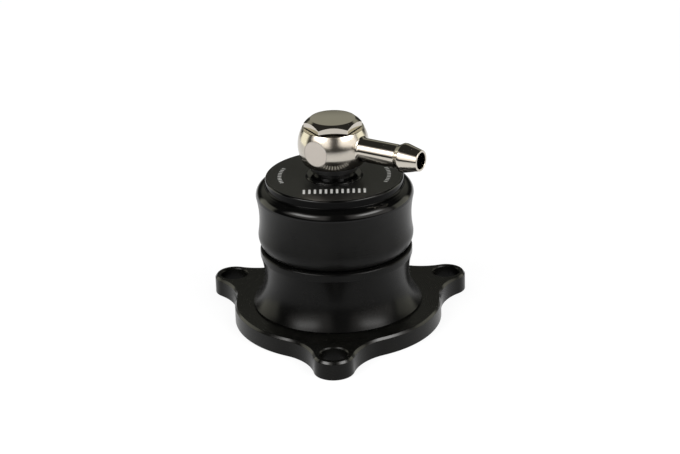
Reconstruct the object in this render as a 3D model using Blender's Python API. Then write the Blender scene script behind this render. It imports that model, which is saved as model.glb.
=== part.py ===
"""Blow off valve: a three-eared flanged base, a screwed cap and a sprung piston, with a banjo fitting on top.

Metres, +Z up. The origin is the centre of the mounting face, under the flange, and Z is the axis of the bore.
The front ear points along -Y. The piston is shown shut, resting on its stop, and lifts along +Z to open.
"""

import math

import bmesh
import bpy
from mathutils import Matrix, Vector

MM = 0.001

# Fits and clearances
SEAT_GAP = 0.3 * MM  # between pieces that seat on each other inside the valve
STACK_GAP = 0.2 * MM  # between the pieces that the banjo bolt clamps
SLIDE_GAP = 0.3 * MM  # piston body to its bore, on the radius
RING_GAP = 0.1 * MM  # a seal or a guide ring to the bore that it runs in, on the radius
GROOVE_GAP = 0.15 * MM  # a ring to each side of its groove
THREAD_GAP = 0.15 * MM  # plain stand-in for a thread's clearance, on the radius
PRESS_GAP = 0.1 * MM  # hose nipple to its socket, on the radius
CUT_MARGIN = 1.0 * MM  # how far a cutter runs past the face that it opens

# Flange
FLANGE_RADIUS = 25.2 * MM
FLANGE_THICKNESS = 4.6 * MM
FLANGE_CHAMFER = 0.5 * MM
FLANGE_UNDER_CHAMFER = 0.1 * MM
EAR_COUNT = 3
EAR_RADIUS = 4.8 * MM
BOLT_CIRCLE_RADIUS = 30.6 * MM
EAR_BLEND_RADIUS = 13.0 * MM
BOLT_HOLE_RADIUS = 3.25 * MM
BOLT_HOLE_CHAMFER = 0.3 * MM

# Outside of the base above the flange
FOOT_RADIUS = 19.95 * MM
FOOT_HEIGHT = 0.4 * MM
FOOT_ROUND = 0.2 * MM
FLARE_RADIUS = 10.0 * MM
NECK_RADIUS = 17.55 * MM
NECK_HEIGHT = 12.05 * MM
LIP_SWEEP_RADIUS = 17.0 * MM
LIP_RADIUS = 18.37 * MM
LIP_TOP = 19.05 * MM
LIP_ROUND = 0.5 * MM

# Spigot that the cap screws on to
SPIGOT_RADIUS = 15.9 * MM
SPIGOT_TOP = 29.55 * MM
SPIGOT_CHAMFER = 0.5 * MM

# Inside of the base
BORE_RADIUS = 13.0 * MM
STOP_RADIUS = 11.0 * MM
STOP_TOP = 10.25 * MM
STOP_THICKNESS = 1.6 * MM
GALLERY_RADIUS = 16.0 * MM
GALLERY_ROUND = 1.5 * MM
BORE_LEAD_IN = 0.5 * MM

# Rings: the section of each seal, and the depth of the groove that holds it
FLANGE_SEAL_SECTION = 1.8 * MM
FLANGE_SEAL_RADIUS = 19.6 * MM  # to the middle of the section
FLANGE_SEAL_RECESS = 0.05 * MM
CAP_SEAL_SECTION = 1.5 * MM
CAP_SEAL_DROP = 2.0 * MM  # from the spigot's top to the middle of the ring
PISTON_SEAL_SECTION = 1.8 * MM
PISTON_SEAL_DROP = 5.4 * MM  # from the piston's top to the middle of the ring
GUIDE_RING_WIDTH = 3.0 * MM
GUIDE_RING_DEPTH = 1.0 * MM
GUIDE_RING_RISE = 3.2 * MM  # from the piston's shoulder to the middle of the ring
GUIDE_RING_SPLIT = 0.8 * MM
GUIDE_RING_SPLIT_TURN = math.radians(30)

# Piston
PISTON_TOP = 24.25 * MM
NOSE_RADIUS = 10.5 * MM
NOSE_RECESS = 0.4 * MM  # the shut nose lies this far above the mounting face
NOSE_CHAMFER = 1.0 * MM
NOSE_THICKNESS = 3.0 * MM
PISTON_WALL = 1.9 * MM
PISTON_SKIRT_WALL = 1.7 * MM
PISTON_EDGE = 0.4 * MM

# Cap
CAP_BOTTOM = 19.55 * MM
CAP_WALL_RADIUS = 16.2 * MM  # bore that goes over the spigot
CAP_EDGE = 0.3 * MM
BAND_RADIUS = 18.7 * MM
BAND_ROUND = 4.0 * MM
WAIST_RADIUS = 18.31 * MM
WAIST_HEIGHT = 27.05 * MM
WAIST_SWEEP_RADIUS = 23.0 * MM
SHOULDER_HEIGHT = 32.5 * MM
SHOULDER_ROUND = 2.4 * MM
CAP_TOP = 36.95 * MM
CAP_RIM_CHAMFER = 0.45 * MM
CAP_ROOF = 3.3 * MM
CHAMBER_RADIUS = 13.4 * MM
CAP_BOSS_RADIUS = 6.9 * MM
CAP_BOSS_HEIGHT = 0.7 * MM
CAP_BOSS_CHAMFER = 0.4 * MM
COLLAR_RADIUS = 5.0 * MM
COLLAR_HEIGHT = 1.0 * MM

# Spring and the two spigots that centre it
SPRING_WIRE = 1.6 * MM
SPRING_MEAN_RADIUS = 6.9 * MM
SPRING_ACTIVE_TURNS = 5.5
SPRING_END_TURNS = 1.0
SPRING_END_GAP = 0.1 * MM  # between the wires of an end turn, which all but touch
CENTRING_GAP = 0.4 * MM
CENTRING_HEIGHT = 1.8 * MM

# Banjo fitting
BANJO_RADIUS = 8.5 * MM
BANJO_HALF_HEIGHT = 4.3 * MM
BANJO_BORE_RADIUS = 4.1 * MM
BANJO_GALLERY_RADIUS = 5.1 * MM
BANJO_GALLERY_HALF = 1.9 * MM
FACET_RADIUS = 2.75 * MM
NIPPLE_TURN = math.radians(-30)  # the nipple's direction, turned from +X
NIPPLE_RADIUS = 2.85 * MM
NIPPLE_BORE_RADIUS = 2.0 * MM
NIPPLE_LENGTH = 24.05 * MM  # from the banjo's centre to the mouth
NIPPLE_SOCKET_DEPTH = 2.0 * MM
BARB_RADIUS = 3.5 * MM
BARB_BACK = 18.0 * MM  # from the banjo's centre to the foot of the barb's back slope
BARB_BACK_LENGTH = 1.3 * MM
BARB_LAND = 0.7 * MM
MOUTH_RADIUS = 2.5 * MM
MOUTH_CHAMFER = 0.15 * MM

# Washers and bolt
LOWER_WASHER_RADIUS = 5.75 * MM
LOWER_WASHER_THICKNESS = 1.63 * MM
UPPER_WASHER_RADIUS = 5.6 * MM
UPPER_WASHER_THICKNESS = 0.9 * MM
UPPER_WASHER_PROUD = 0.05 * MM  # how far the upper washer stands out of its counterbore
BOLT_SHANK_RADIUS = 3.85 * MM
BOLT_BORE_RADIUS = 2.0 * MM
BOLT_PORT_RADIUS = 1.4 * MM
BOLT_PORT_ABOVE = 0.6 * MM  # the blind bore runs this far above the ports' upper edge
BOLT_END_CHAMFER = 0.5 * MM
HEX_ACROSS_FLATS = 12.0 * MM
HEX_HEIGHT = 2.05 * MM
HEX_TOP_RADIUS = 5.35 * MM
HEX_CHAMFER_ANGLE = math.radians(30)
HEX_TURN = math.radians(2.5)  # where the bolt came to rest when it was tightened

# Heights that follow from the sizes above
ROOF_UNDERSIDE = CAP_TOP - CAP_ROOF
CAP_SHELF = SPIGOT_TOP + SEAT_GAP
COLLAR_TOP = CAP_TOP + CAP_BOSS_HEIGHT + COLLAR_HEIGHT
LOWER_WASHER_BOTTOM = COLLAR_TOP + STACK_GAP
LOWER_WASHER_TOP = LOWER_WASHER_BOTTOM + LOWER_WASHER_THICKNESS
BANJO_CENTRE = LOWER_WASHER_TOP + STACK_GAP + BANJO_HALF_HEIGHT
BANJO_TOP = BANJO_CENTRE + BANJO_HALF_HEIGHT
HEX_BOTTOM = BANJO_TOP + STACK_GAP
HEX_TOP = HEX_BOTTOM + HEX_HEIGHT
PISTON_RADIUS = BORE_RADIUS - SLIDE_GAP
PISTON_SHOULDER = STOP_TOP + SEAT_GAP
PISTON_FLOOR = NOSE_RECESS + NOSE_THICKNESS
SPRING_BOTTOM = PISTON_FLOOR + SEAT_GAP
SPRING_TOP = ROOF_UNDERSIDE - SEAT_GAP
CENTRING_RADIUS = SPRING_MEAN_RADIUS - SPRING_WIRE / 2 - CENTRING_GAP
FACET_DISTANCE = math.sqrt(BANJO_RADIUS**2 - FACET_RADIUS**2)

# Facets round each turned piece
LARGE_STEPS = 48
MEDIUM_STEPS = 32
SMALL_STEPS = 24
DISC_STEPS = 8
BLEND_STEPS = 6
EAR_STEPS = 14
FINE_STEPS = 20
PORT_STEPS = 12
FACET_CUTTER_STEPS = 8
RING_SECTION_SIDES = 8
WIRE_SIDES = 6
WIRE_STEPS_PER_TURN = 12

# Facets along each curve of a profile
FOOT_ROUND_STEPS = 2
FLARE_STEPS = 6
LIP_SWEEP_STEPS = 3
LIP_ROUND_STEPS = 3
GALLERY_ROUND_STEPS = 4
BAND_STEPS = 4
WAIST_STEPS = 6
SHOULDER_STEPS = 5
BALL_STEPS = 10

SHARP_ANGLE = math.radians(28)
POINT_MERGE = 1e-7


# Scene and materials


def clear_scene():
    for obj in list(bpy.data.objects):
        bpy.data.objects.remove(obj, do_unlink=True)


def material(name, colour, roughness, metallic):
    found = bpy.data.materials.get(name)
    if found:
        return found
    made = bpy.data.materials.new(name)
    made.use_nodes = True
    shader = made.node_tree.nodes["Principled BSDF"]
    shader.inputs["Base Color"].default_value = (*colour, 1.0)
    shader.inputs["Roughness"].default_value = roughness
    shader.inputs["Metallic"].default_value = metallic
    return made


def black_anodised():
    return material("black_anodised", (0.018, 0.018, 0.018), 0.3, 0.6)


def nickel_plate():
    return material("nickel_plate", (0.72, 0.68, 0.62), 0.12, 1.0)


def black_rubber():
    return material("black_rubber", (0.015, 0.015, 0.015), 0.6, 0.0)


def hard_anodised():
    return material("hard_anodised", (0.12, 0.12, 0.115), 0.4, 0.7)


def spring_steel():
    return material("spring_steel", (0.55, 0.55, 0.56), 0.3, 1.0)


def guide_polymer():
    return material("guide_polymer", (0.30, 0.22, 0.13), 0.5, 0.0)


def black_nylon():
    return material("black_nylon", (0.02, 0.02, 0.02), 0.45, 0.0)


# Points and profiles


def arc(centre, radius, start, end, steps):
    """Points of an arc from start to end, in degrees, in the plane of radius and height."""
    points = []
    for step in range(steps + 1):
        angle = math.radians(start + (end - start) * step / steps)
        points.append((centre[0] + radius * math.cos(angle), centre[1] + radius * math.sin(angle)))
    return points


def hollow(centre, radius, low, high, steps):
    """Points of a hollow arc between two heights, whose centre lies outside the piece."""
    points = []
    for step in range(steps + 1):
        height = low + (high - low) * step / steps
        reach = math.sqrt(radius**2 - (height - centre[1]) ** 2)
        points.append((centre[0] - reach, height))
    return points


# Meshes


def add_object(name, mesh, finish):
    """Makes an object of a mesh that is already in its place, with its origin on the slide's axis."""
    obj = bpy.data.objects.new(name, mesh)
    bpy.context.scene.collection.objects.link(obj)
    if finish:
        mesh.materials.append(finish)
    return obj


def mesh_of(name, shape):
    bmesh.ops.remove_doubles(shape, verts=shape.verts, dist=POINT_MERGE)
    bmesh.ops.dissolve_degenerate(shape, edges=shape.edges, dist=POINT_MERGE)
    bmesh.ops.recalc_face_normals(shape, faces=shape.faces)
    mesh = bpy.data.meshes.new(name)
    shape.to_mesh(mesh)
    shape.free()
    mesh.shade_smooth()
    mesh.set_sharp_from_angle(angle=SHARP_ANGLE)
    return mesh


def turned_mesh(name, profile, steps):
    """A profile of radius and height points, closed on itself or on the axis, spun about Z."""
    shape = bmesh.new()
    verts = [shape.verts.new((radius, 0.0, height)) for radius, height in profile]
    edges = [shape.edges.new(pair) for pair in zip(verts, verts[1:])]
    if profile[0][0] > 0.0 or profile[-1][0] > 0.0:
        edges.append(shape.edges.new((verts[-1], verts[0])))
    whole = verts + edges
    bmesh.ops.spin(shape, geom=whole, cent=(0, 0, 0), axis=(0, 0, 1), angle=math.tau, steps=steps)
    return mesh_of(name, shape)


def prism_mesh(name, outline, low, high):
    """An outline of X and Y points, extruded from one height to another."""
    shape = bmesh.new()
    floor = shape.faces.new([shape.verts.new((x, y, low)) for x, y in outline])
    made = bmesh.ops.extrude_face_region(shape, geom=[floor])
    raised = [item for item in made["geom"] if isinstance(item, bmesh.types.BMVert)]
    bmesh.ops.translate(shape, verts=raised, vec=(0, 0, high - low))
    return mesh_of(name, shape)


def cutter(name, mesh):
    obj = add_object(name, mesh, None)
    obj.hide_render = True
    obj.display_type = "WIRE"
    return obj


def boolean(obj, operation, other):
    modifier = obj.modifiers.new(other.name, "BOOLEAN")
    modifier.operation = operation
    modifier.solver = "EXACT"
    modifier.object = other


def apply_modifiers(obj):
    """Bakes the modifiers into the mesh, so that the edges they made can be marked sharp."""
    graph = bpy.context.evaluated_depsgraph_get()
    mesh = bpy.data.meshes.new_from_object(obj.evaluated_get(graph))
    obj.modifiers.clear()
    obj.data = mesh
    mesh.shade_smooth()
    mesh.set_sharp_from_angle(angle=SHARP_ANGLE)


def turned(name, profile, steps, finish):
    return add_object(name, turned_mesh(name, profile, steps), finish)


def turned_cutter(name, profile, steps):
    return cutter(name, turned_mesh(name, profile, steps))


def ring_section(radius, height, section):
    """A round ring section, centred at a radius and a height."""
    points = arc((radius, height), section / 2, 0, 360, RING_SECTION_SIDES)
    return points[:-1]


def box_section(inner, outer, low, high):
    return [(outer, high), (outer, low), (inner, low), (inner, high)]


# Places round the flange


def ear_angles():
    """The ears' directions, starting at the front ear on -Y."""
    return [-math.pi / 2 + index * math.tau / EAR_COUNT for index in range(EAR_COUNT)]


def ear_centre(angle):
    return BOLT_CIRCLE_RADIUS * math.cos(angle), BOLT_CIRCLE_RADIUS * math.sin(angle)


def flange_outline():
    """The flange's edge: round ears, each blended into the disc by a hollow arc on either side."""
    disc_reach = FLANGE_RADIUS + EAR_BLEND_RADIUS
    ear_reach = EAR_RADIUS + EAR_BLEND_RADIUS
    cosine = (disc_reach**2 + BOLT_CIRCLE_RADIUS**2 - ear_reach**2) / (2 * disc_reach * BOLT_CIRCLE_RADIUS)
    turn = math.acos(cosine)
    blend_x = disc_reach * math.cos(turn) - BOLT_CIRCLE_RADIUS
    blend_y = disc_reach * math.sin(turn)
    ear_tangent = math.degrees(math.atan2(blend_y, blend_x))
    turn = math.degrees(turn)
    outline = []
    for angle in ear_angles():
        heading = math.degrees(angle)
        centre = ear_centre(angle)
        for side in (-1, 1):
            blend_angle = math.radians(heading + side * turn)
            blend = disc_reach * math.cos(blend_angle), disc_reach * math.sin(blend_angle)
            at_disc = heading + side * (turn + 180)
            at_ear = heading + side * (ear_tangent - 180)
            at_ear += 360 * round((at_disc - at_ear) / 360)
            if side < 0:
                outline += arc(blend, EAR_BLEND_RADIUS, at_disc, at_ear, BLEND_STEPS)[:-1]
                first, last = heading - ear_tangent, heading + ear_tangent
                outline += arc(centre, EAR_RADIUS, first, last, EAR_STEPS)[:-1]
            else:
                outline += arc(blend, EAR_BLEND_RADIUS, at_ear, at_disc, BLEND_STEPS)[:-1]
        next_disc = heading + 360 / EAR_COUNT - turn
        outline += arc((0, 0), FLANGE_RADIUS, heading + turn, next_disc, DISC_STEPS)[:-1]
    return outline


def flange_plate():
    """The flat plate, with the chamfer that runs all round its top edge and a finer one below."""
    mesh = prism_mesh("flange_plate", flange_outline(), 0.0, FLANGE_THICKNESS)
    shape = bmesh.new()
    shape.from_mesh(mesh)
    bpy.data.meshes.remove(mesh)
    for height, width in ((FLANGE_THICKNESS, FLANGE_CHAMFER), (0.0, FLANGE_UNDER_CHAMFER)):
        level = [vert for vert in shape.verts if abs(vert.co.z - height) < POINT_MERGE]
        rim = [edge for edge in shape.edges if edge.verts[0] in level and edge.verts[1] in level]
        bmesh.ops.bevel(shape, geom=rim, offset=width, offset_type="OFFSET", segments=1, affect="EDGES")
    return mesh_of("flange_plate", shape)


# Base


def base_outside():
    """The turned outside, from inside the flange plate up to the spigot's top."""
    foot_top = FLANGE_THICKNESS + FOOT_HEIGHT
    flare_centre = (NECK_RADIUS + FLARE_RADIUS, NECK_HEIGHT)
    lip_centre = (NECK_RADIUS + LIP_SWEEP_RADIUS, NECK_HEIGHT)
    lip_edge = LIP_RADIUS - LIP_ROUND
    lip_low = NECK_HEIGHT + math.sqrt(LIP_SWEEP_RADIUS**2 - (lip_centre[0] - LIP_RADIUS) ** 2)
    profile = [(0.0, FLANGE_THICKNESS / 2), (FOOT_RADIUS, FLANGE_THICKNESS / 2)]
    profile += arc((FOOT_RADIUS - FOOT_ROUND, foot_top - FOOT_ROUND), FOOT_ROUND, 0, 90, FOOT_ROUND_STEPS)
    profile += hollow(flare_centre, FLARE_RADIUS, foot_top, NECK_HEIGHT, FLARE_STEPS)
    profile += hollow(lip_centre, LIP_SWEEP_RADIUS, NECK_HEIGHT, lip_low, LIP_SWEEP_STEPS)[1:]
    profile += arc((lip_edge, LIP_TOP - LIP_ROUND), LIP_ROUND, 0, 90, LIP_ROUND_STEPS)
    profile += [(SPIGOT_RADIUS, LIP_TOP)]
    profile += [(SPIGOT_RADIUS, SPIGOT_TOP - SPIGOT_CHAMFER), (SPIGOT_RADIUS - SPIGOT_CHAMFER, SPIGOT_TOP)]
    profile += [(0.0, SPIGOT_TOP)]
    return profile


def base_inside():
    """The cutter for the gallery under the piston, the stop that it rests on and the bore it slides in."""
    stop_bottom = STOP_TOP - STOP_THICKNESS
    profile = [(0.0, -CUT_MARGIN), (GALLERY_RADIUS, -CUT_MARGIN)]
    gallery_round_centre = (GALLERY_RADIUS - GALLERY_ROUND, stop_bottom - GALLERY_ROUND)
    profile += arc(gallery_round_centre, GALLERY_ROUND, 0, 90, GALLERY_ROUND_STEPS)
    profile += [(STOP_RADIUS, stop_bottom), (STOP_RADIUS, STOP_TOP), (BORE_RADIUS, STOP_TOP)]
    profile += [(BORE_RADIUS, SPIGOT_TOP - BORE_LEAD_IN)]
    profile += [(BORE_RADIUS + BORE_LEAD_IN + CUT_MARGIN, SPIGOT_TOP + CUT_MARGIN)]
    profile += [(0.0, SPIGOT_TOP + CUT_MARGIN)]
    return profile


def bolt_hole_cutter():
    """One bolt hole, chamfered at the top, on the axis."""
    mouth = BOLT_HOLE_RADIUS + BOLT_HOLE_CHAMFER + CUT_MARGIN
    return [
        (0.0, -CUT_MARGIN),
        (BOLT_HOLE_RADIUS, -CUT_MARGIN),
        (BOLT_HOLE_RADIUS, FLANGE_THICKNESS - BOLT_HOLE_CHAMFER),
        (mouth, FLANGE_THICKNESS + CUT_MARGIN),
        (0.0, FLANGE_THICKNESS + CUT_MARGIN),
    ]


def cap_seal_place():
    """The radius and height of the middle of the ring that seals the cap to the spigot."""
    return CAP_WALL_RADIUS - RING_GAP - CAP_SEAL_SECTION / 2, SPIGOT_TOP - CAP_SEAL_DROP


def make_base():
    base = add_object("base", flange_plate(), black_anodised())
    boolean(base, "UNION", turned_cutter("base_outside", base_outside(), LARGE_STEPS))
    boolean(base, "DIFFERENCE", turned_cutter("base_inside", base_inside(), LARGE_STEPS))
    for index, angle in enumerate(ear_angles()):
        name = f"bolt_hole_{index + 1}"
        mesh = turned_mesh(name, bolt_hole_cutter(), FINE_STEPS)
        mesh.transform(Matrix.Translation((*ear_centre(angle), 0.0)))
        boolean(base, "DIFFERENCE", cutter(name, mesh))
    half = FLANGE_SEAL_SECTION / 2 + GROOVE_GAP
    depth = FLANGE_SEAL_RECESS + FLANGE_SEAL_SECTION + GROOVE_GAP
    groove = box_section(FLANGE_SEAL_RADIUS - half, FLANGE_SEAL_RADIUS + half, -CUT_MARGIN, depth)
    boolean(base, "DIFFERENCE", turned_cutter("flange_seal_groove", groove, LARGE_STEPS))
    radius, height = cap_seal_place()
    half = CAP_SEAL_SECTION / 2 + GROOVE_GAP
    groove = box_section(radius - half, SPIGOT_RADIUS + CUT_MARGIN, height - half, height + half)
    boolean(base, "DIFFERENCE", turned_cutter("cap_seal_groove", groove, LARGE_STEPS))
    apply_modifiers(base)


def make_base_seals():
    height = FLANGE_SEAL_RECESS + FLANGE_SEAL_SECTION / 2
    section = ring_section(FLANGE_SEAL_RADIUS, height, FLANGE_SEAL_SECTION)
    turned("flange_seal", section, MEDIUM_STEPS, black_rubber())
    section = ring_section(*cap_seal_place(), CAP_SEAL_SECTION)
    turned("cap_seal", section, MEDIUM_STEPS, black_rubber())


# Cap


def cap_profile():
    """The cap's whole section: waisted outside, rounded shoulder, top with its boss, chamber within."""
    band_low = CAP_BOTTOM + CAP_EDGE
    waist_centre = (WAIST_RADIUS + WAIST_SWEEP_RADIUS, WAIST_HEIGHT)
    # The hollow waist turns into the round band where their slopes agree, in line with both their centres.
    band_centre_radius = BAND_RADIUS - BAND_ROUND
    centres_apart = waist_centre[0] - band_centre_radius
    slope = math.acos(centres_apart / (WAIST_SWEEP_RADIUS + BAND_ROUND))
    band_centre_height = WAIST_HEIGHT - (WAIST_SWEEP_RADIUS + BAND_ROUND) * math.sin(slope)
    band_start = math.degrees(math.asin((band_low - band_centre_height) / BAND_ROUND))
    meeting_height = band_centre_height + BAND_ROUND * math.sin(slope)
    boss_top = CAP_TOP + CAP_BOSS_HEIGHT
    bolt_hole = BOLT_SHANK_RADIUS + THREAD_GAP
    rise = SHOULDER_HEIGHT - WAIST_HEIGHT
    shoulder_radius = waist_centre[0] - math.sqrt(WAIST_SWEEP_RADIUS**2 - rise**2)
    rim_radius = shoulder_radius - SHOULDER_ROUND
    centring_bottom = ROOF_UNDERSIDE - CENTRING_HEIGHT
    band_centre = (band_centre_radius, band_centre_height)
    profile = arc(band_centre, BAND_ROUND, band_start, math.degrees(slope), BAND_STEPS)[:-1]
    profile += hollow(waist_centre, WAIST_SWEEP_RADIUS, meeting_height, SHOULDER_HEIGHT, WAIST_STEPS)
    profile += arc((rim_radius, SHOULDER_HEIGHT), SHOULDER_ROUND, 0, 90, SHOULDER_STEPS)[1:]
    profile += [(rim_radius, CAP_TOP - CAP_RIM_CHAMFER), (rim_radius - CAP_RIM_CHAMFER, CAP_TOP)]
    profile += [(CAP_BOSS_RADIUS, CAP_TOP), (CAP_BOSS_RADIUS, boss_top - CAP_BOSS_CHAMFER)]
    profile += [(CAP_BOSS_RADIUS - CAP_BOSS_CHAMFER, boss_top), (COLLAR_RADIUS, boss_top)]
    profile += [(COLLAR_RADIUS, COLLAR_TOP), (bolt_hole, COLLAR_TOP), (bolt_hole, centring_bottom)]
    profile += [(CENTRING_RADIUS, centring_bottom), (CENTRING_RADIUS, ROOF_UNDERSIDE)]
    profile += [(CHAMBER_RADIUS, ROOF_UNDERSIDE), (CHAMBER_RADIUS, CAP_SHELF)]
    profile += [(CAP_WALL_RADIUS, CAP_SHELF), (CAP_WALL_RADIUS, CAP_BOTTOM)]
    profile += [(profile[0][0] - CAP_EDGE, CAP_BOTTOM)]
    return profile


def make_cap():
    turned("cap", cap_profile(), LARGE_STEPS, black_anodised())


# Piston and what slides with it


def piston_ring_places():
    """The radius and height of the middle of the piston's seal, and the same for its guide ring."""
    seal = BORE_RADIUS - RING_GAP - PISTON_SEAL_SECTION / 2, PISTON_TOP - PISTON_SEAL_DROP
    guide = BORE_RADIUS - RING_GAP - GUIDE_RING_DEPTH / 2, PISTON_SHOULDER + GUIDE_RING_RISE
    return seal, guide


def piston_profile():
    """A turned cup, open at the top for the spring, stepped in below to the nose that shuts the port."""
    seal, guide = piston_ring_places()
    seal_half = PISTON_SEAL_SECTION / 2 + GROOVE_GAP
    guide_half = GUIDE_RING_WIDTH / 2 + GROOVE_GAP
    guide_floor = guide[0] - GUIDE_RING_DEPTH / 2 - GROOVE_GAP
    skirt_inside = NOSE_RADIUS - PISTON_SKIRT_WALL
    wall_inside = PISTON_RADIUS - GUIDE_RING_DEPTH - PISTON_WALL
    profile = [(0.0, NOSE_RECESS), (NOSE_RADIUS - NOSE_CHAMFER, NOSE_RECESS)]
    profile += [(NOSE_RADIUS, NOSE_RECESS + NOSE_CHAMFER), (NOSE_RADIUS, PISTON_SHOULDER)]
    profile += [(PISTON_RADIUS - PISTON_EDGE, PISTON_SHOULDER)]
    profile += [(PISTON_RADIUS, PISTON_SHOULDER + PISTON_EDGE)]
    profile += [(PISTON_RADIUS, guide[1] - guide_half), (guide_floor, guide[1] - guide_half)]
    profile += [(guide_floor, guide[1] + guide_half), (PISTON_RADIUS, guide[1] + guide_half)]
    profile += [(PISTON_RADIUS, seal[1] - seal_half), (seal[0] - seal_half, seal[1] - seal_half)]
    profile += [(seal[0] - seal_half, seal[1] + seal_half), (PISTON_RADIUS, seal[1] + seal_half)]
    profile += [(PISTON_RADIUS, PISTON_TOP - PISTON_EDGE), (PISTON_RADIUS - PISTON_EDGE, PISTON_TOP)]
    profile += [(wall_inside, PISTON_TOP), (wall_inside, PISTON_SHOULDER + PISTON_WALL)]
    profile += [(skirt_inside, PISTON_SHOULDER), (skirt_inside, PISTON_FLOOR)]
    profile += [(CENTRING_RADIUS, PISTON_FLOOR), (CENTRING_RADIUS, PISTON_FLOOR + CENTRING_HEIGHT)]
    profile += [(0.0, PISTON_FLOOR + CENTRING_HEIGHT)]
    return profile


def make_piston():
    turned("piston", piston_profile(), MEDIUM_STEPS, hard_anodised())
    seal, guide = piston_ring_places()
    turned("piston_seal", ring_section(*seal, PISTON_SEAL_SECTION), MEDIUM_STEPS, black_rubber())
    low = guide[1] - GUIDE_RING_WIDTH / 2
    high = guide[1] + GUIDE_RING_WIDTH / 2
    section = box_section(guide[0] - GUIDE_RING_DEPTH / 2, guide[0] + GUIDE_RING_DEPTH / 2, low, high)
    ring = turned("guide_ring", section, MEDIUM_STEPS, guide_polymer())
    half = GUIDE_RING_SPLIT / 2
    reach = BORE_RADIUS + CUT_MARGIN
    outline = [(0.0, -half), (reach, -half), (reach, half), (0.0, half)]
    split = prism_mesh("guide_ring_split", outline, low - CUT_MARGIN, high + CUT_MARGIN)
    split.transform(Matrix.Rotation(GUIDE_RING_SPLIT_TURN, 4, "Z"))
    boolean(ring, "DIFFERENCE", cutter("guide_ring_split", split))
    apply_modifiers(ring)


# Spring


def spring_height(turn):
    """The height of the wire's centre after a number of turns: shut turns at both ends, open ones between."""
    low = SPRING_BOTTOM + SPRING_WIRE / 2
    high = SPRING_TOP - SPRING_WIRE / 2
    shut_rise = SPRING_WIRE + SPRING_END_GAP
    open_rise = (high - low - 2 * SPRING_END_TURNS * shut_rise) / SPRING_ACTIVE_TURNS
    if turn < SPRING_END_TURNS:
        return low + turn * shut_rise
    if turn > SPRING_END_TURNS + SPRING_ACTIVE_TURNS:
        return high - (2 * SPRING_END_TURNS + SPRING_ACTIVE_TURNS - turn) * shut_rise
    return low + SPRING_END_TURNS * shut_rise + (turn - SPRING_END_TURNS) * open_rise


def make_spring():
    """The wire's round section, carried along the coil and closed at both ends."""
    turns = SPRING_ACTIVE_TURNS + 2 * SPRING_END_TURNS
    steps = round(turns * WIRE_STEPS_PER_TURN)
    shape = bmesh.new()
    rings = []
    for step in range(steps + 1):
        turn = turns * step / steps
        angle = turn * math.tau
        ring = []
        for side in range(WIRE_SIDES):
            around = side * math.tau / WIRE_SIDES
            radius = SPRING_MEAN_RADIUS + SPRING_WIRE / 2 * math.cos(around)
            height = spring_height(turn) + SPRING_WIRE / 2 * math.sin(around)
            ring.append(shape.verts.new((radius * math.cos(angle), radius * math.sin(angle), height)))
        rings.append(ring)
    for first, second in zip(rings, rings[1:]):
        for side in range(WIRE_SIDES):
            after = (side + 1) % WIRE_SIDES
            shape.faces.new((first[side], first[after], second[after], second[side]))
    shape.faces.new(rings[0])
    shape.faces.new(rings[-1])
    add_object("spring", mesh_of("spring", shape), spring_steel())


# Banjo fitting, its washers and its bolt


def nipple_frame():
    """Turns a piece modelled along +Z so that it points along the nipple, from the banjo's centre."""
    along = Matrix.Rotation(NIPPLE_TURN, 4, "Z") @ Matrix.Rotation(math.pi / 2, 4, "Y")
    return Matrix.Translation((0, 0, BANJO_CENTRE)) @ along


def facet_cutter(name, turn):
    """A wide disc whose flat side trims the ball, facing the given direction."""
    far = 2 * BANJO_RADIUS
    disc = [(0.0, FACET_DISTANCE), (BANJO_RADIUS, FACET_DISTANCE), (BANJO_RADIUS, far), (0.0, far)]
    mesh = turned_mesh(name, disc, FACET_CUTTER_STEPS)
    along = Matrix.Rotation(turn, 4, "Z") @ Matrix.Rotation(math.pi / 2, 4, "Y")
    mesh.transform(Matrix.Translation((0, 0, BANJO_CENTRE)) @ along)
    return cutter(name, mesh)


def banjo_profile():
    """A ball with flat ends, bored for the bolt, with a ring gallery inside and a counterbore on top."""
    low = BANJO_CENTRE - BANJO_HALF_HEIGHT
    tilt = math.degrees(math.asin(BANJO_HALF_HEIGHT / BANJO_RADIUS))
    counterbore = UPPER_WASHER_RADIUS + PRESS_GAP
    floor = BANJO_TOP + UPPER_WASHER_PROUD - UPPER_WASHER_THICKNESS - PRESS_GAP
    profile = arc((0.0, BANJO_CENTRE), BANJO_RADIUS, -tilt, tilt, BALL_STEPS)
    profile += [(counterbore, BANJO_TOP), (counterbore, floor), (BANJO_BORE_RADIUS, floor)]
    profile += [(BANJO_BORE_RADIUS, BANJO_CENTRE + BANJO_GALLERY_HALF)]
    profile += [(BANJO_GALLERY_RADIUS, BANJO_CENTRE + BANJO_GALLERY_HALF)]
    profile += [(BANJO_GALLERY_RADIUS, BANJO_CENTRE - BANJO_GALLERY_HALF)]
    profile += [(BANJO_BORE_RADIUS, BANJO_CENTRE - BANJO_GALLERY_HALF), (BANJO_BORE_RADIUS, low)]
    return profile


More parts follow.
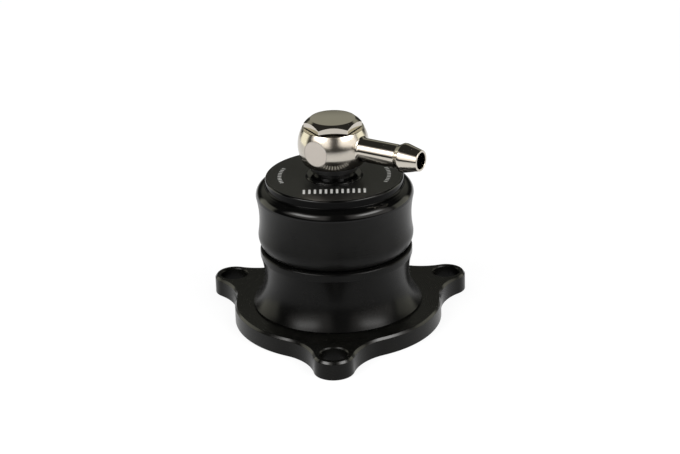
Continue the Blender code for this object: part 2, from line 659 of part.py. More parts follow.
def make_banjo_body():
    banjo = turned("banjo_body", banjo_profile(), MEDIUM_STEPS, nickel_plate())
    boolean(banjo, "DIFFERENCE", facet_cutter("nipple_facet", NIPPLE_TURN))
    boolean(banjo, "DIFFERENCE", facet_cutter("side_facet", NIPPLE_TURN - math.pi / 2))
    socket_floor = FACET_DISTANCE - NIPPLE_SOCKET_DEPTH
    socket_radius = NIPPLE_RADIUS + PRESS_GAP
    far = 2 * BANJO_RADIUS
    profile = [(0.0, BANJO_BORE_RADIUS), (NIPPLE_BORE_RADIUS, BANJO_BORE_RADIUS)]
    profile += [(NIPPLE_BORE_RADIUS, socket_floor), (socket_radius, socket_floor)]
    profile += [(socket_radius, far), (0.0, far)]
    socket = turned_mesh("nipple_socket", profile, FINE_STEPS)
    socket.transform(nipple_frame())
    boolean(banjo, "DIFFERENCE", cutter("nipple_socket", socket))
    apply_modifiers(banjo)


def make_hose_nipple():
    """The hose tube with its one barb, modelled along +Z and then turned to its place."""
    inner = FACET_DISTANCE - NIPPLE_SOCKET_DEPTH + PRESS_GAP
    ridge = BARB_BACK + BARB_BACK_LENGTH
    profile = [(NIPPLE_BORE_RADIUS, inner), (NIPPLE_RADIUS, inner), (NIPPLE_RADIUS, BARB_BACK)]
    profile += [(BARB_RADIUS, ridge), (BARB_RADIUS, ridge + BARB_LAND)]
    profile += [(MOUTH_RADIUS, NIPPLE_LENGTH - MOUTH_CHAMFER), (MOUTH_RADIUS - MOUTH_CHAMFER, NIPPLE_LENGTH)]
    profile += [(NIPPLE_BORE_RADIUS, NIPPLE_LENGTH)]
    mesh = turned_mesh("hose_nipple", profile, FINE_STEPS)
    mesh.transform(nipple_frame())
    add_object("hose_nipple", mesh, nickel_plate())


def make_washers():
    bolt_clear = BOLT_SHANK_RADIUS + THREAD_GAP
    section = box_section(bolt_clear, LOWER_WASHER_RADIUS, LOWER_WASHER_BOTTOM, LOWER_WASHER_TOP)
    turned("lower_seal_washer", section, SMALL_STEPS, black_nylon())
    high = BANJO_TOP + UPPER_WASHER_PROUD
    section = box_section(bolt_clear, UPPER_WASHER_RADIUS, high - UPPER_WASHER_THICKNESS, high)
    turned("upper_seal_washer", section, SMALL_STEPS, black_nylon())


def head_blank():
    """The turned blank that gives the hexagon its chamfer."""
    wide = HEX_ACROSS_FLATS
    drop = (wide - HEX_TOP_RADIUS) * math.tan(HEX_CHAMFER_ANGLE)
    return [
        (0.0, HEX_BOTTOM - CUT_MARGIN - drop),
        (wide, HEX_BOTTOM - CUT_MARGIN - drop),
        (wide, HEX_TOP - drop),
        (HEX_TOP_RADIUS, HEX_TOP),
        (0.0, HEX_TOP),
    ]


def make_banjo_bolt():
    """A hollow bolt: hexagon head, plain shank, a bore up from its end and a port through both walls."""
    corner = HEX_ACROSS_FLATS / 2 / math.cos(math.pi / 6)
    angles = [HEX_TURN + math.tau * side / 6 for side in range(6)]
    outline = [(corner * math.cos(angle), corner * math.sin(angle)) for angle in angles]
    head = prism_mesh("banjo_bolt", outline, HEX_BOTTOM, HEX_TOP + CUT_MARGIN)
    bolt = add_object("banjo_bolt", head, nickel_plate())
    boolean(bolt, "INTERSECT", turned_cutter("head_blank", head_blank(), SMALL_STEPS))
    end = ROOF_UNDERSIDE - CENTRING_HEIGHT
    head_middle = HEX_BOTTOM + HEX_HEIGHT / 2
    shank = [(0.0, end), (BOLT_SHANK_RADIUS - BOLT_END_CHAMFER, end)]
    shank += [(BOLT_SHANK_RADIUS, end + BOLT_END_CHAMFER), (BOLT_SHANK_RADIUS, head_middle)]
    shank += [(0.0, head_middle)]
    boolean(bolt, "UNION", turned_cutter("bolt_shank", shank, SMALL_STEPS))
    bore_top = BANJO_CENTRE + BOLT_PORT_RADIUS + BOLT_PORT_ABOVE
    bore = [(0.0, end - CUT_MARGIN), (BOLT_BORE_RADIUS, end - CUT_MARGIN), (BOLT_BORE_RADIUS, bore_top)]
    bore += [(0.0, bore_top + BOLT_BORE_RADIUS / 2)]
    boolean(bolt, "DIFFERENCE", turned_cutter("bolt_bore", bore, FINE_STEPS))
    reach = BOLT_SHANK_RADIUS + CUT_MARGIN
    port = [(0.0, -reach), (BOLT_PORT_RADIUS, -reach), (BOLT_PORT_RADIUS, reach), (0.0, reach)]
    port_mesh = turned_mesh("bolt_port", port, PORT_STEPS)
    port_mesh.transform(nipple_frame())
    boolean(bolt, "DIFFERENCE", cutter("bolt_port", port_mesh))
    apply_modifiers(bolt)


def main():
    clear_scene()
    make_base()
    make_base_seals()
    make_cap()
    make_piston()
    make_spring()
    make_banjo_body()
    make_hose_nipple()
    make_washers()
    make_banjo_bolt()


main()
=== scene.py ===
"""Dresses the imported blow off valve: finely turned pieces, their finishes, a plain studio and the camera.

Metres, +Z up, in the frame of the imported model. The origin is under the flange, on the axis of the bore.
"""

import math

import bmesh
import bpy
from mathutils import Matrix, Vector


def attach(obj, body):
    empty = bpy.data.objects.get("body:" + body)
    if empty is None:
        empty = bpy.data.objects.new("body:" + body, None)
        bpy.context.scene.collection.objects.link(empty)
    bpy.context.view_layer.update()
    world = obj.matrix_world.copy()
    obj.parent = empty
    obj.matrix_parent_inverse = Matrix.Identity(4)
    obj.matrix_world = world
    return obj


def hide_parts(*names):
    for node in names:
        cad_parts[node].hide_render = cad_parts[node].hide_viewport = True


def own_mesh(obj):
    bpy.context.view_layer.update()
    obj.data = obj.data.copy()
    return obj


MM = 0.001

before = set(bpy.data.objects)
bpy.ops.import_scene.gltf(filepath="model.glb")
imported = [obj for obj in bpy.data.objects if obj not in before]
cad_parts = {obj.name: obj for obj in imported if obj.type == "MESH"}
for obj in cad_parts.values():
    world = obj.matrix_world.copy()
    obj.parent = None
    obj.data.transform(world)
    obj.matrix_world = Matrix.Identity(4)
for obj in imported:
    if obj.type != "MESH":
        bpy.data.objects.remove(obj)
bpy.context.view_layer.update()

# Camera
LENS = 120.0
SENSOR = 36.0
CAMERA_NEAR = 0.01
CAMERA_FAR = 20.0
CAMERA_PLACE = Vector((22.36, -501.86, 238.25)) * MM
CAMERA_PITCH = math.radians(23.154)
CAMERA_ROLL = math.radians(-1.682)
CAMERA_YAW = math.radians(0.108)
CAMERA_TURN = math.radians(2.544)  # the whole view, about the valve's axis

# Sizes. They are those of the solids, but for the radii of the ears and of the facet, the angle of the
# hexagon's chamfer, and fine trim that only the scene has.
FLANGE_RADIUS = 25.2 * MM
FLANGE_THICKNESS = 4.6 * MM
FLANGE_CHAMFER = 0.5 * MM
EDGE_STEEPNESS = 1.25
CHAMFER_RUN = 0.6  # for one unit along the chamfer's slope
CHAMFER_RISE = 0.8
CHAMFER_REACH = 1.5  # times a chamfer's size, so that its eased edges are taken in
SLOPED = (0.25, 0.97)  # upward part of the normals of a chamfer's faces
FLANGE_UNDER_CHAMFER = 0.1 * MM
EAR_COUNT = 3
EAR_RADIUS = 4.789 * MM
BOLT_CIRCLE_RADIUS = 30.6 * MM
EAR_BLEND_RADIUS = 13.0 * MM
BOLT_HOLE_RADIUS = 3.25 * MM
BOLT_HOLE_CHAMFER = 0.3 * MM
FOOT_RADIUS = 19.95 * MM
FOOT_TOP = 5.0 * MM
FOOT_ROUND = 0.2 * MM
BODY_BOTTOM = 3.0 * MM
FLARE_RADIUS = 10.0 * MM
NECK_RADIUS = 17.55 * MM
NECK_HEIGHT = 12.05 * MM
LIP_SWEEP_RADIUS = 17.0 * MM
LIP_RADIUS = 18.37 * MM
LIP_TOP = 19.05 * MM
LIP_ROUND = 0.5 * MM
SPIGOT_RADIUS = 15.9 * MM
SPIGOT_TOP = 29.55 * MM
BORE_RADIUS = 13.0 * MM
STOP_RADIUS = 11.0 * MM
STOP_TOP = 10.25 * MM
STOP_BOTTOM = 8.65 * MM
GALLERY_RADIUS = 16.0 * MM
GALLERY_ROUND = 1.5 * MM
FLANGE_SEAL_RADIUS = 19.6 * MM
FLANGE_SEAL_SECTION = 1.8 * MM
FLANGE_SEAL_HEIGHT = 0.95 * MM
GROOVE_SIDE_GAP = 0.15 * MM
GROOVE_FLOOR_GAP = 0.2 * MM
CAP_BOTTOM = 19.55 * MM
CAP_WALL_RADIUS = 16.2 * MM
CAP_EDGE = 0.3 * MM
BAND_RADIUS = 18.7 * MM
BAND_ROUND = 4.0 * MM
WAIST_RADIUS = 18.31 * MM
WAIST_HEIGHT = 27.05 * MM
WAIST_SWEEP_RADIUS = 23.0 * MM
SHOULDER_HEIGHT = 32.5 * MM
SHOULDER_ROUND = 2.4 * MM
CAP_TOP = 36.95 * MM
CAP_RIM_CHAMFER = 0.45 * MM
RIM_FILLET = 0.35 * MM
ROOF_UNDERSIDE = 33.65 * MM
CAP_SHELF = 29.85 * MM
CHAMBER_RADIUS = 13.4 * MM
CAP_BOSS_RADIUS = 6.9 * MM
CAP_BOSS_TOP = 37.65 * MM
CAP_BOSS_CHAMFER = 0.4 * MM
COLLAR_RADIUS = 5.0 * MM
COLLAR_TOP = 38.65 * MM
BOLT_HOLE_IN_CAP = 4.0 * MM
WASHER_RADIUS = 5.75 * MM
WASHER_BOTTOM = 38.85 * MM
WASHER_TOP = 40.48 * MM
BANJO_RADIUS = 8.5 * MM
BANJO_HALF_HEIGHT = 4.3 * MM
BANJO_CENTRE = 44.98 * MM
BANJO_BORE_RADIUS = 4.1 * MM
FACET_RADIUS = 3.15 * MM
FACET_DISTANCE = math.sqrt(BANJO_RADIUS**2 - FACET_RADIUS**2)
# Width of the ring at the facet's edge that carries painted shade
FACET_RING = 0.2 * MM
FACET_CUT_END = 12.0 * MM
FACET_CUT_STEPS = 64
NIPPLE_TURN = math.radians(-30)
FACET_TURN = NIPPLE_TURN - math.pi / 2
NIPPLE_RADIUS = 2.85 * MM
NIPPLE_BORE_RADIUS = 2.0 * MM
NIPPLE_LENGTH = 24.05 * MM
NIPPLE_SOCKET_DEPTH = 2.0 * MM
NIPPLE_ROOT = ((0.45 * MM, -0.25 * MM), (0.12 * MM, 0.1 * MM), (0.0, 0.5 * MM))
BARB_RADIUS = 3.5 * MM
BARB_BACK = 18.0 * MM
BARB_BACK_LENGTH = 1.3 * MM
BARB_LAND = 0.7 * MM
MOUTH_RADIUS = 2.5 * MM
BOLT_SHANK_RADIUS = 3.85 * MM
BOLT_END = 32.0 * MM
BOLT_OVERLAP = 1.0 * MM
HEX_ACROSS_FLATS = 12.0 * MM
HEX_TURN = math.radians(2.5)
HEX_BOTTOM = 49.48 * MM
HEX_TOP = 51.53 * MM
HEX_TOP_RADIUS = 5.35 * MM
HEX_CHAMFER_ANGLE = math.radians(36)
PISTON_TOP = 24.25 * MM
PISTON_RADIUS = 12.7 * MM
NOSE_RADIUS = 10.5 * MM
NOSE_RECESS = 0.4 * MM
NOSE_CHAMFER = 1.0 * MM
PISTON_SHOULDER = 10.55 * MM
PISTON_CUP_RADIUS = 9.8 * MM
PISTON_CUP_BOTTOM = 12.4 * MM
NOSE_CUP_RADIUS = 8.8 * MM
NOSE_FLOOR = 3.4 * MM
CENTRING_RADIUS = 5.7 * MM
CENTRING_TOP = 5.2 * MM
SPRING_WIRE = 1.6 * MM
SPRING_MEAN_RADIUS = 6.9 * MM
SPRING_ACTIVE_TURNS = 5.5
SPRING_END_TURNS = 1.0
SPRING_END_GAP = 0.1 * MM
SPRING_BOTTOM = 3.7 * MM
SPRING_TOP = 33.35 * MM
SPRING_STEPS_PER_TURN = 48
SPRING_SIDES = 16
CUT_MARGIN = 1.0 * MM

# Eased edges, and how finely round forms are drawn
FLANGE_EASE = 0.10 * MM
HOLE_EASE = 0.06 * MM
CAP_EASE = 0.07 * MM
BALL_EASE = 0.10 * MM
TUBE_EASE = 0.12 * MM
WASHER_EASE = 0.18 * MM
HEX_EASE = 0.12 * MM
HEX_CORNER_ROUND = 0.24 * MM
PISTON_EASE = 0.12 * MM
LEAST_EASED = math.radians(25)
EASE_ROOM = 0.45  # share of the shorter side that an eased corner may take
ROUND_STEPS = 192
SMALL_ROUND_STEPS = 96
EDGE_STEPS = 4
BLEND_STEPS = 20
EAR_STEPS = 56
DISC_STEPS = 40
FOOT_STEPS = 5
FLARE_STEPS = 26
LIP_SWEEP_STEPS = 16
FILLET_STEPS = 8
BAND_STEPS = 10
WAIST_STEPS = 24
SHOULDER_STEPS = 20
RIM_STEPS = 10
BALL_STEPS = 64
HEX_CORNER_STEPS = 5
SEAL_STEPS = 20
SHARP = math.radians(32)  # least turn between faces that shows as an edge
MERGE = 1e-7  # points nearer than this are one
LEVEL_MARGIN = 0.01 * MM  # heights nearer than this count as level
FACING = 0.9999  # least cosine between a normal and a direction that count as the same
NORMAL_WEIGHT = 70

# Finishes: scale and detail of each noise, then its lowest and highest share of colour and of roughness
CLOUD = (180.0, 4.0)
CLOUD_TINT = (0.8, 1.25)
CLOUD_ROUGHNESS = (0.94, 1.06)
HAZE = (320.0, 5.0)
HAZE_TINT = (0.97, 1.0)
HAZE_ROUGHNESS = (0.8, 1.3)
GRAIN = (1500.0, 4.0)
GRAIN_TINT = (0.75, 1.3)
GRAIN_ROUGHNESS = (0.9, 1.1)
GRAIN_BUMP = 0.15
GRAIN_DEPTH = 0.02 * MM
POLISH = (900.0, 3.0)
POLISH_BUMP = 0.04
FINE_DEPTH = 0.01 * MM
GROOVE_PITCH = 0.12 * MM
GROOVE_ROUGHNESS = 0.02
# Painted shade: the share of the nickel's colour left on the ring at the facet's edge
FACET_RING_SHADE = 0.72
PAPER_SCALE = 40.0
PAPER_ROUGHNESS = (0.86, 0.94)

# Margins for telling the faces of the cap apart
FACE_MARGIN = 0.05 * MM
RIM_MARGIN = 0.02 * MM
WALL_MARGIN = 0.1 * MM
INSIDE_MARGIN = 0.5 * MM

# Plain marks on the cap's top: a row of bars in front, and a curved row of ticks on each side
MARK_PAINT = (0.62, 0.62, 0.60)
MARK_TURN = math.radians(2)
BAR_COUNT = 12
BAR_PITCH = 1.3 * MM
BAR_WIDTH = 0.55 * MM
BAR_DEPTH = 2.6 * MM
BAR_ROW_X = 0.0
BAR_ROW_Y = -10.2 * MM
TICK_RADIUS = 13.1 * MM
TICK_DEPTH = 0.9 * MM
TICK_PITCH = 4.4
TICK_SHARE = 0.4
TICK_REACH = 22.0

# The tent that shiny pieces reflect, and the colours in it
TENT_RADIUS = 0.32
TENT_SEGMENTS = 64
TENT_DARK = (0.035, 0.035, 0.032)
TENT_GAP = (0.10, 0.095, 0.09)
TENT_BACK = (0.37, 0.37, 0.31)
TENT_SIDE = (1.72, 1.69, 1.40)
TENT_FOOT = (0.42, 0.41, 0.38)
WINDOW_GLOW = (1.80, 1.72, 1.63)
WINDOW = (12.0, 11.9, 11.7)

# Where these lie, in degrees. Turns are 0 at the camera and grow to the viewer's right, rises start at the
# floor, and the last number of each is the softness of its edges.
TENT_BACK_TURN = (122.0, 8.0)
TENT_BACK_RISE = (24.0, 42.0, 5.0)
TENT_FOOT_TURN = (126.0, 6.0)
TENT_FOOT_RISE = (6.0, 3.0)
TENT_SIDE_TURN = (93.0, 128.0, 5.0)
TENT_SIDE_SHIFT = 2.0
TENT_SIDE_RISE = (30.0, 4.0)
TENT_GAP_TURN = (-16.0, 24.0, 8.0)
TENT_GAP_RISE = (13.0, 70.0, 5.0)
GLOW_LEFT_TURN = (-77.0, -12.0, 8.0)
GLOW_LEFT_BOTTOM = (14.0, 6.0)
GLOW_LEFT_SLOPE = 0.2
GLOW_LEFT_SLOPE_START = 30.0
GLOW_RIGHT_TURN = (20.0, 84.0, 8.0)
GLOW_RIGHT_BOTTOM = (17.0, 7.0)
GLOW_RIGHT_SLOPE = 0.28
GLOW_RIGHT_SLOPE_START = 25.0
GLOW_TOP = (56.0, 8.0)
WINDOW_LEFT_TURN = (-68.0, -32.0, 10.0)
WINDOW_RIGHT_TURN = (36.0, 72.0, 10.0)
WINDOW_RISE = (33.0, 48.0, 4.0)

# Floor, lamps and world
FLOOR_HALF_SIZE = 3.0
FLOOR_COLOUR = (0.80, 0.77, 0.74)
FLOOR_GLOW = 0.82
FLOOR_SHADOW = 0.27
# Painted shade: in reflections the floor glows dimmer in front of the object, towards the camera, from the
# near distance out to the far one
FLOOR_SHADE_NEAR = 85 * MM
FLOOR_SHADE_FAR = 290 * MM
FLOOR_SHADE = 0.25
LAMP_TURN = 52.0
LAMP_RISE = 33.0
LAMP_DISTANCE = 0.75
LAMP_WIDTH = 0.62
LAMP_HEIGHT = 0.55
LAMP_STRENGTH = 2.4
LAMP_TARGET = Vector((0, 0, 30 * MM))
WORLD_LIGHT = 0.45


# Points and profiles


def arc(centre, radius, start, end, steps):
    """Points of an arc between two angles in degrees."""
    points = []
    for step in range(steps + 1):
        angle = math.radians(start + (end - start) * step / steps)
        points.append((centre[0] + radius * math.cos(angle), centre[1] + radius * math.sin(angle)))
    return points


def hollow(centre, radius, low, high, steps):
    """Points of a hollow arc between two heights, whose centre lies outside the piece."""
    points = []
    for step in range(steps + 1):
        height = low + (high - low) * step / steps
        points.append((centre[0] - math.sqrt(radius**2 - (height - centre[1]) ** 2), height))
    return points


def curve(start, corner, end):
    """Points of a smooth curve from start to end that leans towards the corner."""
    start, corner, end = Vector(start), Vector(corner), Vector(end)
    points = []
    for step in range(EDGE_STEPS + 1):
        share = step / EDGE_STEPS
        point = start * (1 - share) ** 2 + corner * 2 * share * (1 - share) + end * share**2
        points.append((point.x, point.y))
    return points


def eased(profile, size):
    """Rounds each sharp corner of a profile by a small arc, but not the ones on the axis."""
    made = [profile[0]]
    for before, corner, after in zip(profile, profile[1:], profile[2:]):
        to_before = Vector(before) - Vector(corner)
        to_after = Vector(after) - Vector(corner)
        turn = math.pi - to_before.angle(to_after) if to_before.length and to_after.length else 0.0
        cut = min(size, EASE_ROOM * min(to_before.length, to_after.length))
        if turn < LEAST_EASED or cut < MERGE * 10:
            made.append(corner)
            continue
        start = Vector(corner) + to_before.normalized() * cut
        end = Vector(corner) + to_after.normalized() * cut
        made += curve(start, corner, end)
    made.append(profile[-1])
    return made


# Meshes


def finish_mesh(name, shape):
    bmesh.ops.remove_doubles(shape, verts=shape.verts, dist=MERGE)
    bmesh.ops.recalc_face_normals(shape, faces=shape.faces)
    mesh = bpy.data.meshes.new(name)
    shape.to_mesh(mesh)
    shape.free()
    mesh.shade_smooth()
    mesh.set_sharp_from_angle(angle=SHARP)
    return mesh


def turned_mesh(name, profile, steps=ROUND_STEPS):
    """A profile of radii and heights, turned round the Z axis."""
    shape = bmesh.new()
    verts = [shape.verts.new((radius, 0.0, height)) for radius, height in profile]
    edges = [shape.edges.new(pair) for pair in zip(verts, verts[1:])]
    if profile[0][0] > 0.0 or profile[-1][0] > 0.0:
        edges.append(shape.edges.new((verts[-1], verts[0])))
    geometry = verts + edges
    bmesh.ops.spin(shape, geom=geometry, cent=(0, 0, 0), axis=(0, 0, 1), angle=math.tau, steps=steps)
    return finish_mesh(name, shape)


def loft_mesh(name, outlines):
    """A closed solid through outlines of equal length, each a list of X and Y points and a height."""
    shape = bmesh.new()
    rings = [[shape.verts.new((x, y, height)) for x, y in outline] for outline, height in outlines]
    count = len(rings[0])
    for lower, upper in zip(rings, rings[1:]):
        for index in range(count):
            after = (index + 1) % count
            shape.faces.new((lower[index], lower[after], upper[after], upper[index]))
    shape.faces.new(list(reversed(rings[0])))
    shape.faces.new(rings[-1])
    return finish_mesh(name, shape)


def link(name, mesh, *materials):
    obj = bpy.data.objects.new(name, mesh)
    bpy.context.scene.collection.objects.link(obj)
    for material in materials:
        mesh.materials.append(material)
    return obj


def combine(obj, operation, *meshes):
    """Applies booleans one after another and keeps the result."""
    for mesh in meshes:
        other = bpy.data.objects.new("tool", mesh)
        bpy.context.scene.collection.objects.link(other)
        modifier = obj.modifiers.new("cut", "BOOLEAN")
        modifier.operation = operation
        modifier.solver = "EXACT"
        modifier.object = other
        graph = bpy.context.evaluated_depsgraph_get()
        made = bpy.data.meshes.new_from_object(obj.evaluated_get(graph))
        obj.modifiers.clear()
        old = obj.data
        obj.data = made
        bpy.data.meshes.remove(old)
        bpy.data.objects.remove(other)
        bpy.data.meshes.remove(mesh)
    obj.data.shade_smooth()
    obj.data.set_sharp_from_angle(angle=SHARP)
    return obj


def mark_sharp(mesh, height):
    """Marks the ring of edges at a height, where two finishes meet at a slight angle."""
    for edge in mesh.edges:
        if all(abs(mesh.vertices[index].co.z - height) < MERGE * 20 for index in edge.vertices):
            edge.use_edge_sharp = True


def mark_border(mesh):
    """Marks the edges between faces of different finishes."""
    finishes = {}
    for face in mesh.polygons:
        for key in face.edge_keys:
            finishes.setdefault(key, set()).add(face.material_index)
    for edge in mesh.edges:
        if len(finishes.get(edge.key, ())) > 1:
            edge.use_edge_sharp = True


def even_normals(obj):
    modifier = obj.modifiers.new("even_normals", "WEIGHTED_NORMAL")
    modifier.keep_sharp = True
    modifier.weight = NORMAL_WEIGHT
    return obj


def turned(name, profile, material):
    return even_normals(link(name, turned_mesh(name, profile), material))


# Materials


def colours_of(sockets):
    return [socket for socket in sockets if socket.type == "RGBA"]


class Graph:
    """Adds nodes to a node tree and joins them."""

    def __init__(self, tree):
        self.tree = tree

    def add(self, kind, **values):
        node = self.tree.nodes.new(kind)
        for key, value in values.items():
            if hasattr(node, key):
                setattr(node, key, value)
            else:
                node.inputs[key.replace("_", " ")].default_value = value
        return node

    def join(self, output, socket):
        self.tree.links.new(output, socket)

    def maths(self, operation, first, second=None):
        """A calculation with one or two values, each a number or an output."""
        node = self.add("ShaderNodeMath", operation=operation)
        for socket, value in zip(node.inputs, (first, second)):
            if isinstance(value, (int, float)):
                socket.default_value = value
            elif value is not None:
                self.join(value, socket)
        return node.outputs[0]

    def split(self, vector):
        """The three parts of a vector."""
        node = self.add("ShaderNodeSeparateXYZ")
        self.join(vector, node.inputs[0])
        return node.outputs

    def map_range(self, value, start, end, low, high, course="LINEAR"):
        """Maps a value from the range between start and end to the one between low and high."""
        node = self.add("ShaderNodeMapRange", interpolation_type=course)
        self.join(value, node.inputs["Value"])
        for name, number in (("From Min", start), ("From Max", end), ("To Min", low), ("To Max", high)):
            node.inputs[name].default_value = number
        return node.outputs["Result"]

    def mix(self, factor, first, second):
        """Goes from the first colour to the second, each a plain colour or an output."""
        node = self.add("ShaderNodeMix", data_type="RGBA")
        self.join(factor, node.inputs["Factor"])
        for socket, colour in zip(colours_of(node.inputs), (first, second)):
            if isinstance(colour, (tuple, list)):
                socket.default_value = (*colour, 1.0)
            else:
                self.join(colour, socket)
        return colours_of(node.outputs)[0]

    def background_seen(self):
        """One for rays that show the background: from the camera, in a reflection or through glass."""
        path = self.add("ShaderNodeLightPath")
        first = self.maths("MAXIMUM", path.outputs["Is Camera Ray"], path.outputs["Is Glossy Ray"])
        return self.maths("MAXIMUM", first, path.outputs["Is Transmission Ray"])


class Finish(Graph):
    """A material, with the helpers that its surface needs."""

    def __init__(self, name, colour, roughness, metallic=0.0, specular=0.5):
        self.material = bpy.data.materials.new(name)
        self.material.use_nodes = True
        super().__init__(self.material.node_tree)
        self.shader = self.tree.nodes["Principled BSDF"]
        self.shader.inputs["Base Color"].default_value = (*colour, 1.0)
        self.shader.inputs["Roughness"].default_value = roughness
        self.shader.inputs["Metallic"].default_value = metallic
        self.shader.inputs["Specular IOR Level"].default_value = specular
        self.place = self.add("ShaderNodeTexCoord").outputs["Object"]

    def noise(self, scale, detail):
        node = self.add("ShaderNodeTexNoise", Scale=scale, Detail=detail, Roughness=0.55)
        self.join(self.place, node.inputs["Vector"])
        return node.outputs["Fac"]

    def spread(self, value, low, high):
        """Stretches a noise, whose values lie mostly between 0.3 and 0.7, to a range."""
        return self.map_range(value, 0.3, 0.7, low, high)

    def tint(self, noise, colour, darkest, palest):
        """Varies the colour between two shares of itself."""
        first = [part * darkest for part in colour]
        second = [part * palest for part in colour]
        self.join(self.mix(self.spread(noise, 0.0, 1.0), first, second), self.shader.inputs["Base Color"])

    def vary(self, noise, roughness, lowest, highest):
        """A roughness that varies between two shares of itself."""
        return self.spread(noise, roughness * lowest, roughness * highest)

    def roughen(self, value):
        self.join(value, self.shader.inputs["Roughness"])

    def paint(self, mask, colour):
        """Covers the colour made so far with a plain paint where the mask is one."""
        base = self.shader.inputs["Base Color"]
        self.join(self.mix(mask, base.links[0].from_socket, colour), base)

    def within(self, value, centre, half):
        """One where a value lies no further than half from the centre."""
        off = self.maths("ABSOLUTE", self.maths("SUBTRACT", value, centre))
        return self.maths("LESS_THAN", off, half)

    def bump(self, height, strength, distance):
        node = self.add("ShaderNodeBump", Strength=strength, Distance=distance)
        self.join(height, node.inputs["Height"])
        self.join(node.outputs["Normal"], self.shader.inputs["Normal"])

    def radius(self):
        """The distance from the Z axis."""
        x, y = self.split(self.place)[0:2]
        squares = self.maths("ADD", self.maths("MULTIPLY", x, x), self.maths("MULTIPLY", y, y))
        return self.maths("SQRT", squares)

    def turning(self, pitch):
        """Fine grooves left by turning: bands by the distance from the axis plus the height."""
        path = self.maths("ADD", self.radius(), self.split(self.place)[2])
        line = self.add("ShaderNodeTexNoise", noise_dimensions="1D", Scale=1.0, Detail=2.0, Roughness=0.6)
        self.join(self.maths("MULTIPLY", path, 1.0 / pitch), line.inputs["W"])
        return line.outputs["Fac"]


def plain_marks(made):
    """A mask of the plain marks: a row of bars in front, and a curved row of ticks on each side."""
    x, y = made.split(made.place)[0:2]
    sine = math.sin(MARK_TURN)
    cosine = math.cos(MARK_TURN)
    along = made.maths("ADD", made.maths("MULTIPLY", x, cosine), made.maths("MULTIPLY", y, sine))
    across = made.maths("SUBTRACT", made.maths("MULTIPLY", y, cosine), made.maths("MULTIPLY", x, sine))
    length = BAR_COUNT * BAR_PITCH
    from_start = made.maths("SUBTRACT", along, BAR_ROW_X - length / 2)
    cell = made.maths("FRACT", made.maths("DIVIDE", from_start, BAR_PITCH))
    bars = made.within(cell, 0.5, BAR_WIDTH / BAR_PITCH / 2)
    bars = made.maths("MULTIPLY", bars, made.within(along, BAR_ROW_X, length / 2))
    bars = made.maths("MULTIPLY", bars, made.within(across, BAR_ROW_Y, BAR_DEPTH / 2))
    ring = made.within(made.radius(), TICK_RADIUS, TICK_DEPTH / 2)
    turn = made.maths("ARCTAN2", y, made.maths("ABSOLUTE", x))
    angle = made.maths("MULTIPLY", turn, math.degrees(1.0))
    tick = made.within(made.maths("FRACT", made.maths("DIVIDE", angle, TICK_PITCH)), 0.5, TICK_SHARE / 2)
    ticks = made.maths("MULTIPLY", made.maths("MULTIPLY", ring, tick), made.within(angle, 0.0, TICK_REACH))
    return made.maths("MAXIMUM", bars, ticks)


def anodised(name, colour, roughness, specular, groove=0.0, marks=None, brushed=0.0):
    """Black anodised aluminium: nearly black, with a faint cloudiness and the marks of turning."""
    made = Finish(name, colour, roughness, 0.0, specular)
    if brushed:
        # Grooves round the axis draw each reflection out along it.
        made.shader.inputs["Anisotropic"].default_value = brushed
        made.shader.inputs["Anisotropic Rotation"].default_value = 0.25
        tangent = made.add("ShaderNodeTangent", direction_type="RADIAL", axis="Z")
        made.join(tangent.outputs[0], made.shader.inputs["Tangent"])
    cloud = made.noise(*CLOUD)
    made.tint(cloud, colour, *CLOUD_TINT)
    if marks:
        made.paint(marks(made), MARK_PAINT)
    grain = made.turning(GROOVE_PITCH)
    grooved = made.spread(grain, -GROOVE_ROUGHNESS, GROOVE_ROUGHNESS)
    made.roughen(made.maths("ADD", made.vary(cloud, roughness, *CLOUD_ROUGHNESS), grooved))
    if groove:
        made.bump(grain, groove, FINE_DEPTH)
    return made.material


def facet_direction():
    return Vector((math.cos(FACET_TURN), math.sin(FACET_TURN), 0.0))


def shaded_facet_ring(made):
    """A mask of the thin ring where the facet's flat meets the ball, darkened there as painted shade."""
    distance = made.add("ShaderNodeVectorMath", operation="DISTANCE")
    made.join(made.place, distance.inputs[0])
    distance.inputs[1].default_value = facet_direction() * FACET_DISTANCE + Vector((0, 0, BANJO_CENTRE))
    return made.maths("GREATER_THAN", distance.outputs["Value"], FACET_RADIUS - FACET_RING)


def plated(name, colour, roughness, painted_shade=None):
    """Bright nickel: a mirror with faint polishing haze. A mask, where given, darkens its ring as painted
    shade.
    """
    made = Finish(name, colour, roughness, 1.0)
    haze = made.noise(*HAZE)
    made.tint(haze, colour, *HAZE_TINT)
    if painted_shade:
        # Painted shade: the ring at the facet's edge is darkened.
        made.paint(painted_shade(made), [part * FACET_RING_SHADE for part in colour])
    made.roughen(made.vary(haze, roughness, *HAZE_ROUGHNESS))
    made.bump(made.noise(*POLISH), POLISH_BUMP, FINE_DEPTH)
    return made.material


def moulded(name, colour, roughness):
    """Rubber or plastic: a soft sheen over a fine grain."""
    made = Finish(name, colour, roughness, 0.0, 0.4)
    grain = made.noise(*GRAIN)
    made.tint(grain, colour, *GRAIN_TINT)
    made.roughen(made.vary(grain, roughness, *GRAIN_ROUGHNESS))
    made.bump(grain, GRAIN_BUMP, GRAIN_DEPTH)
    return made.material


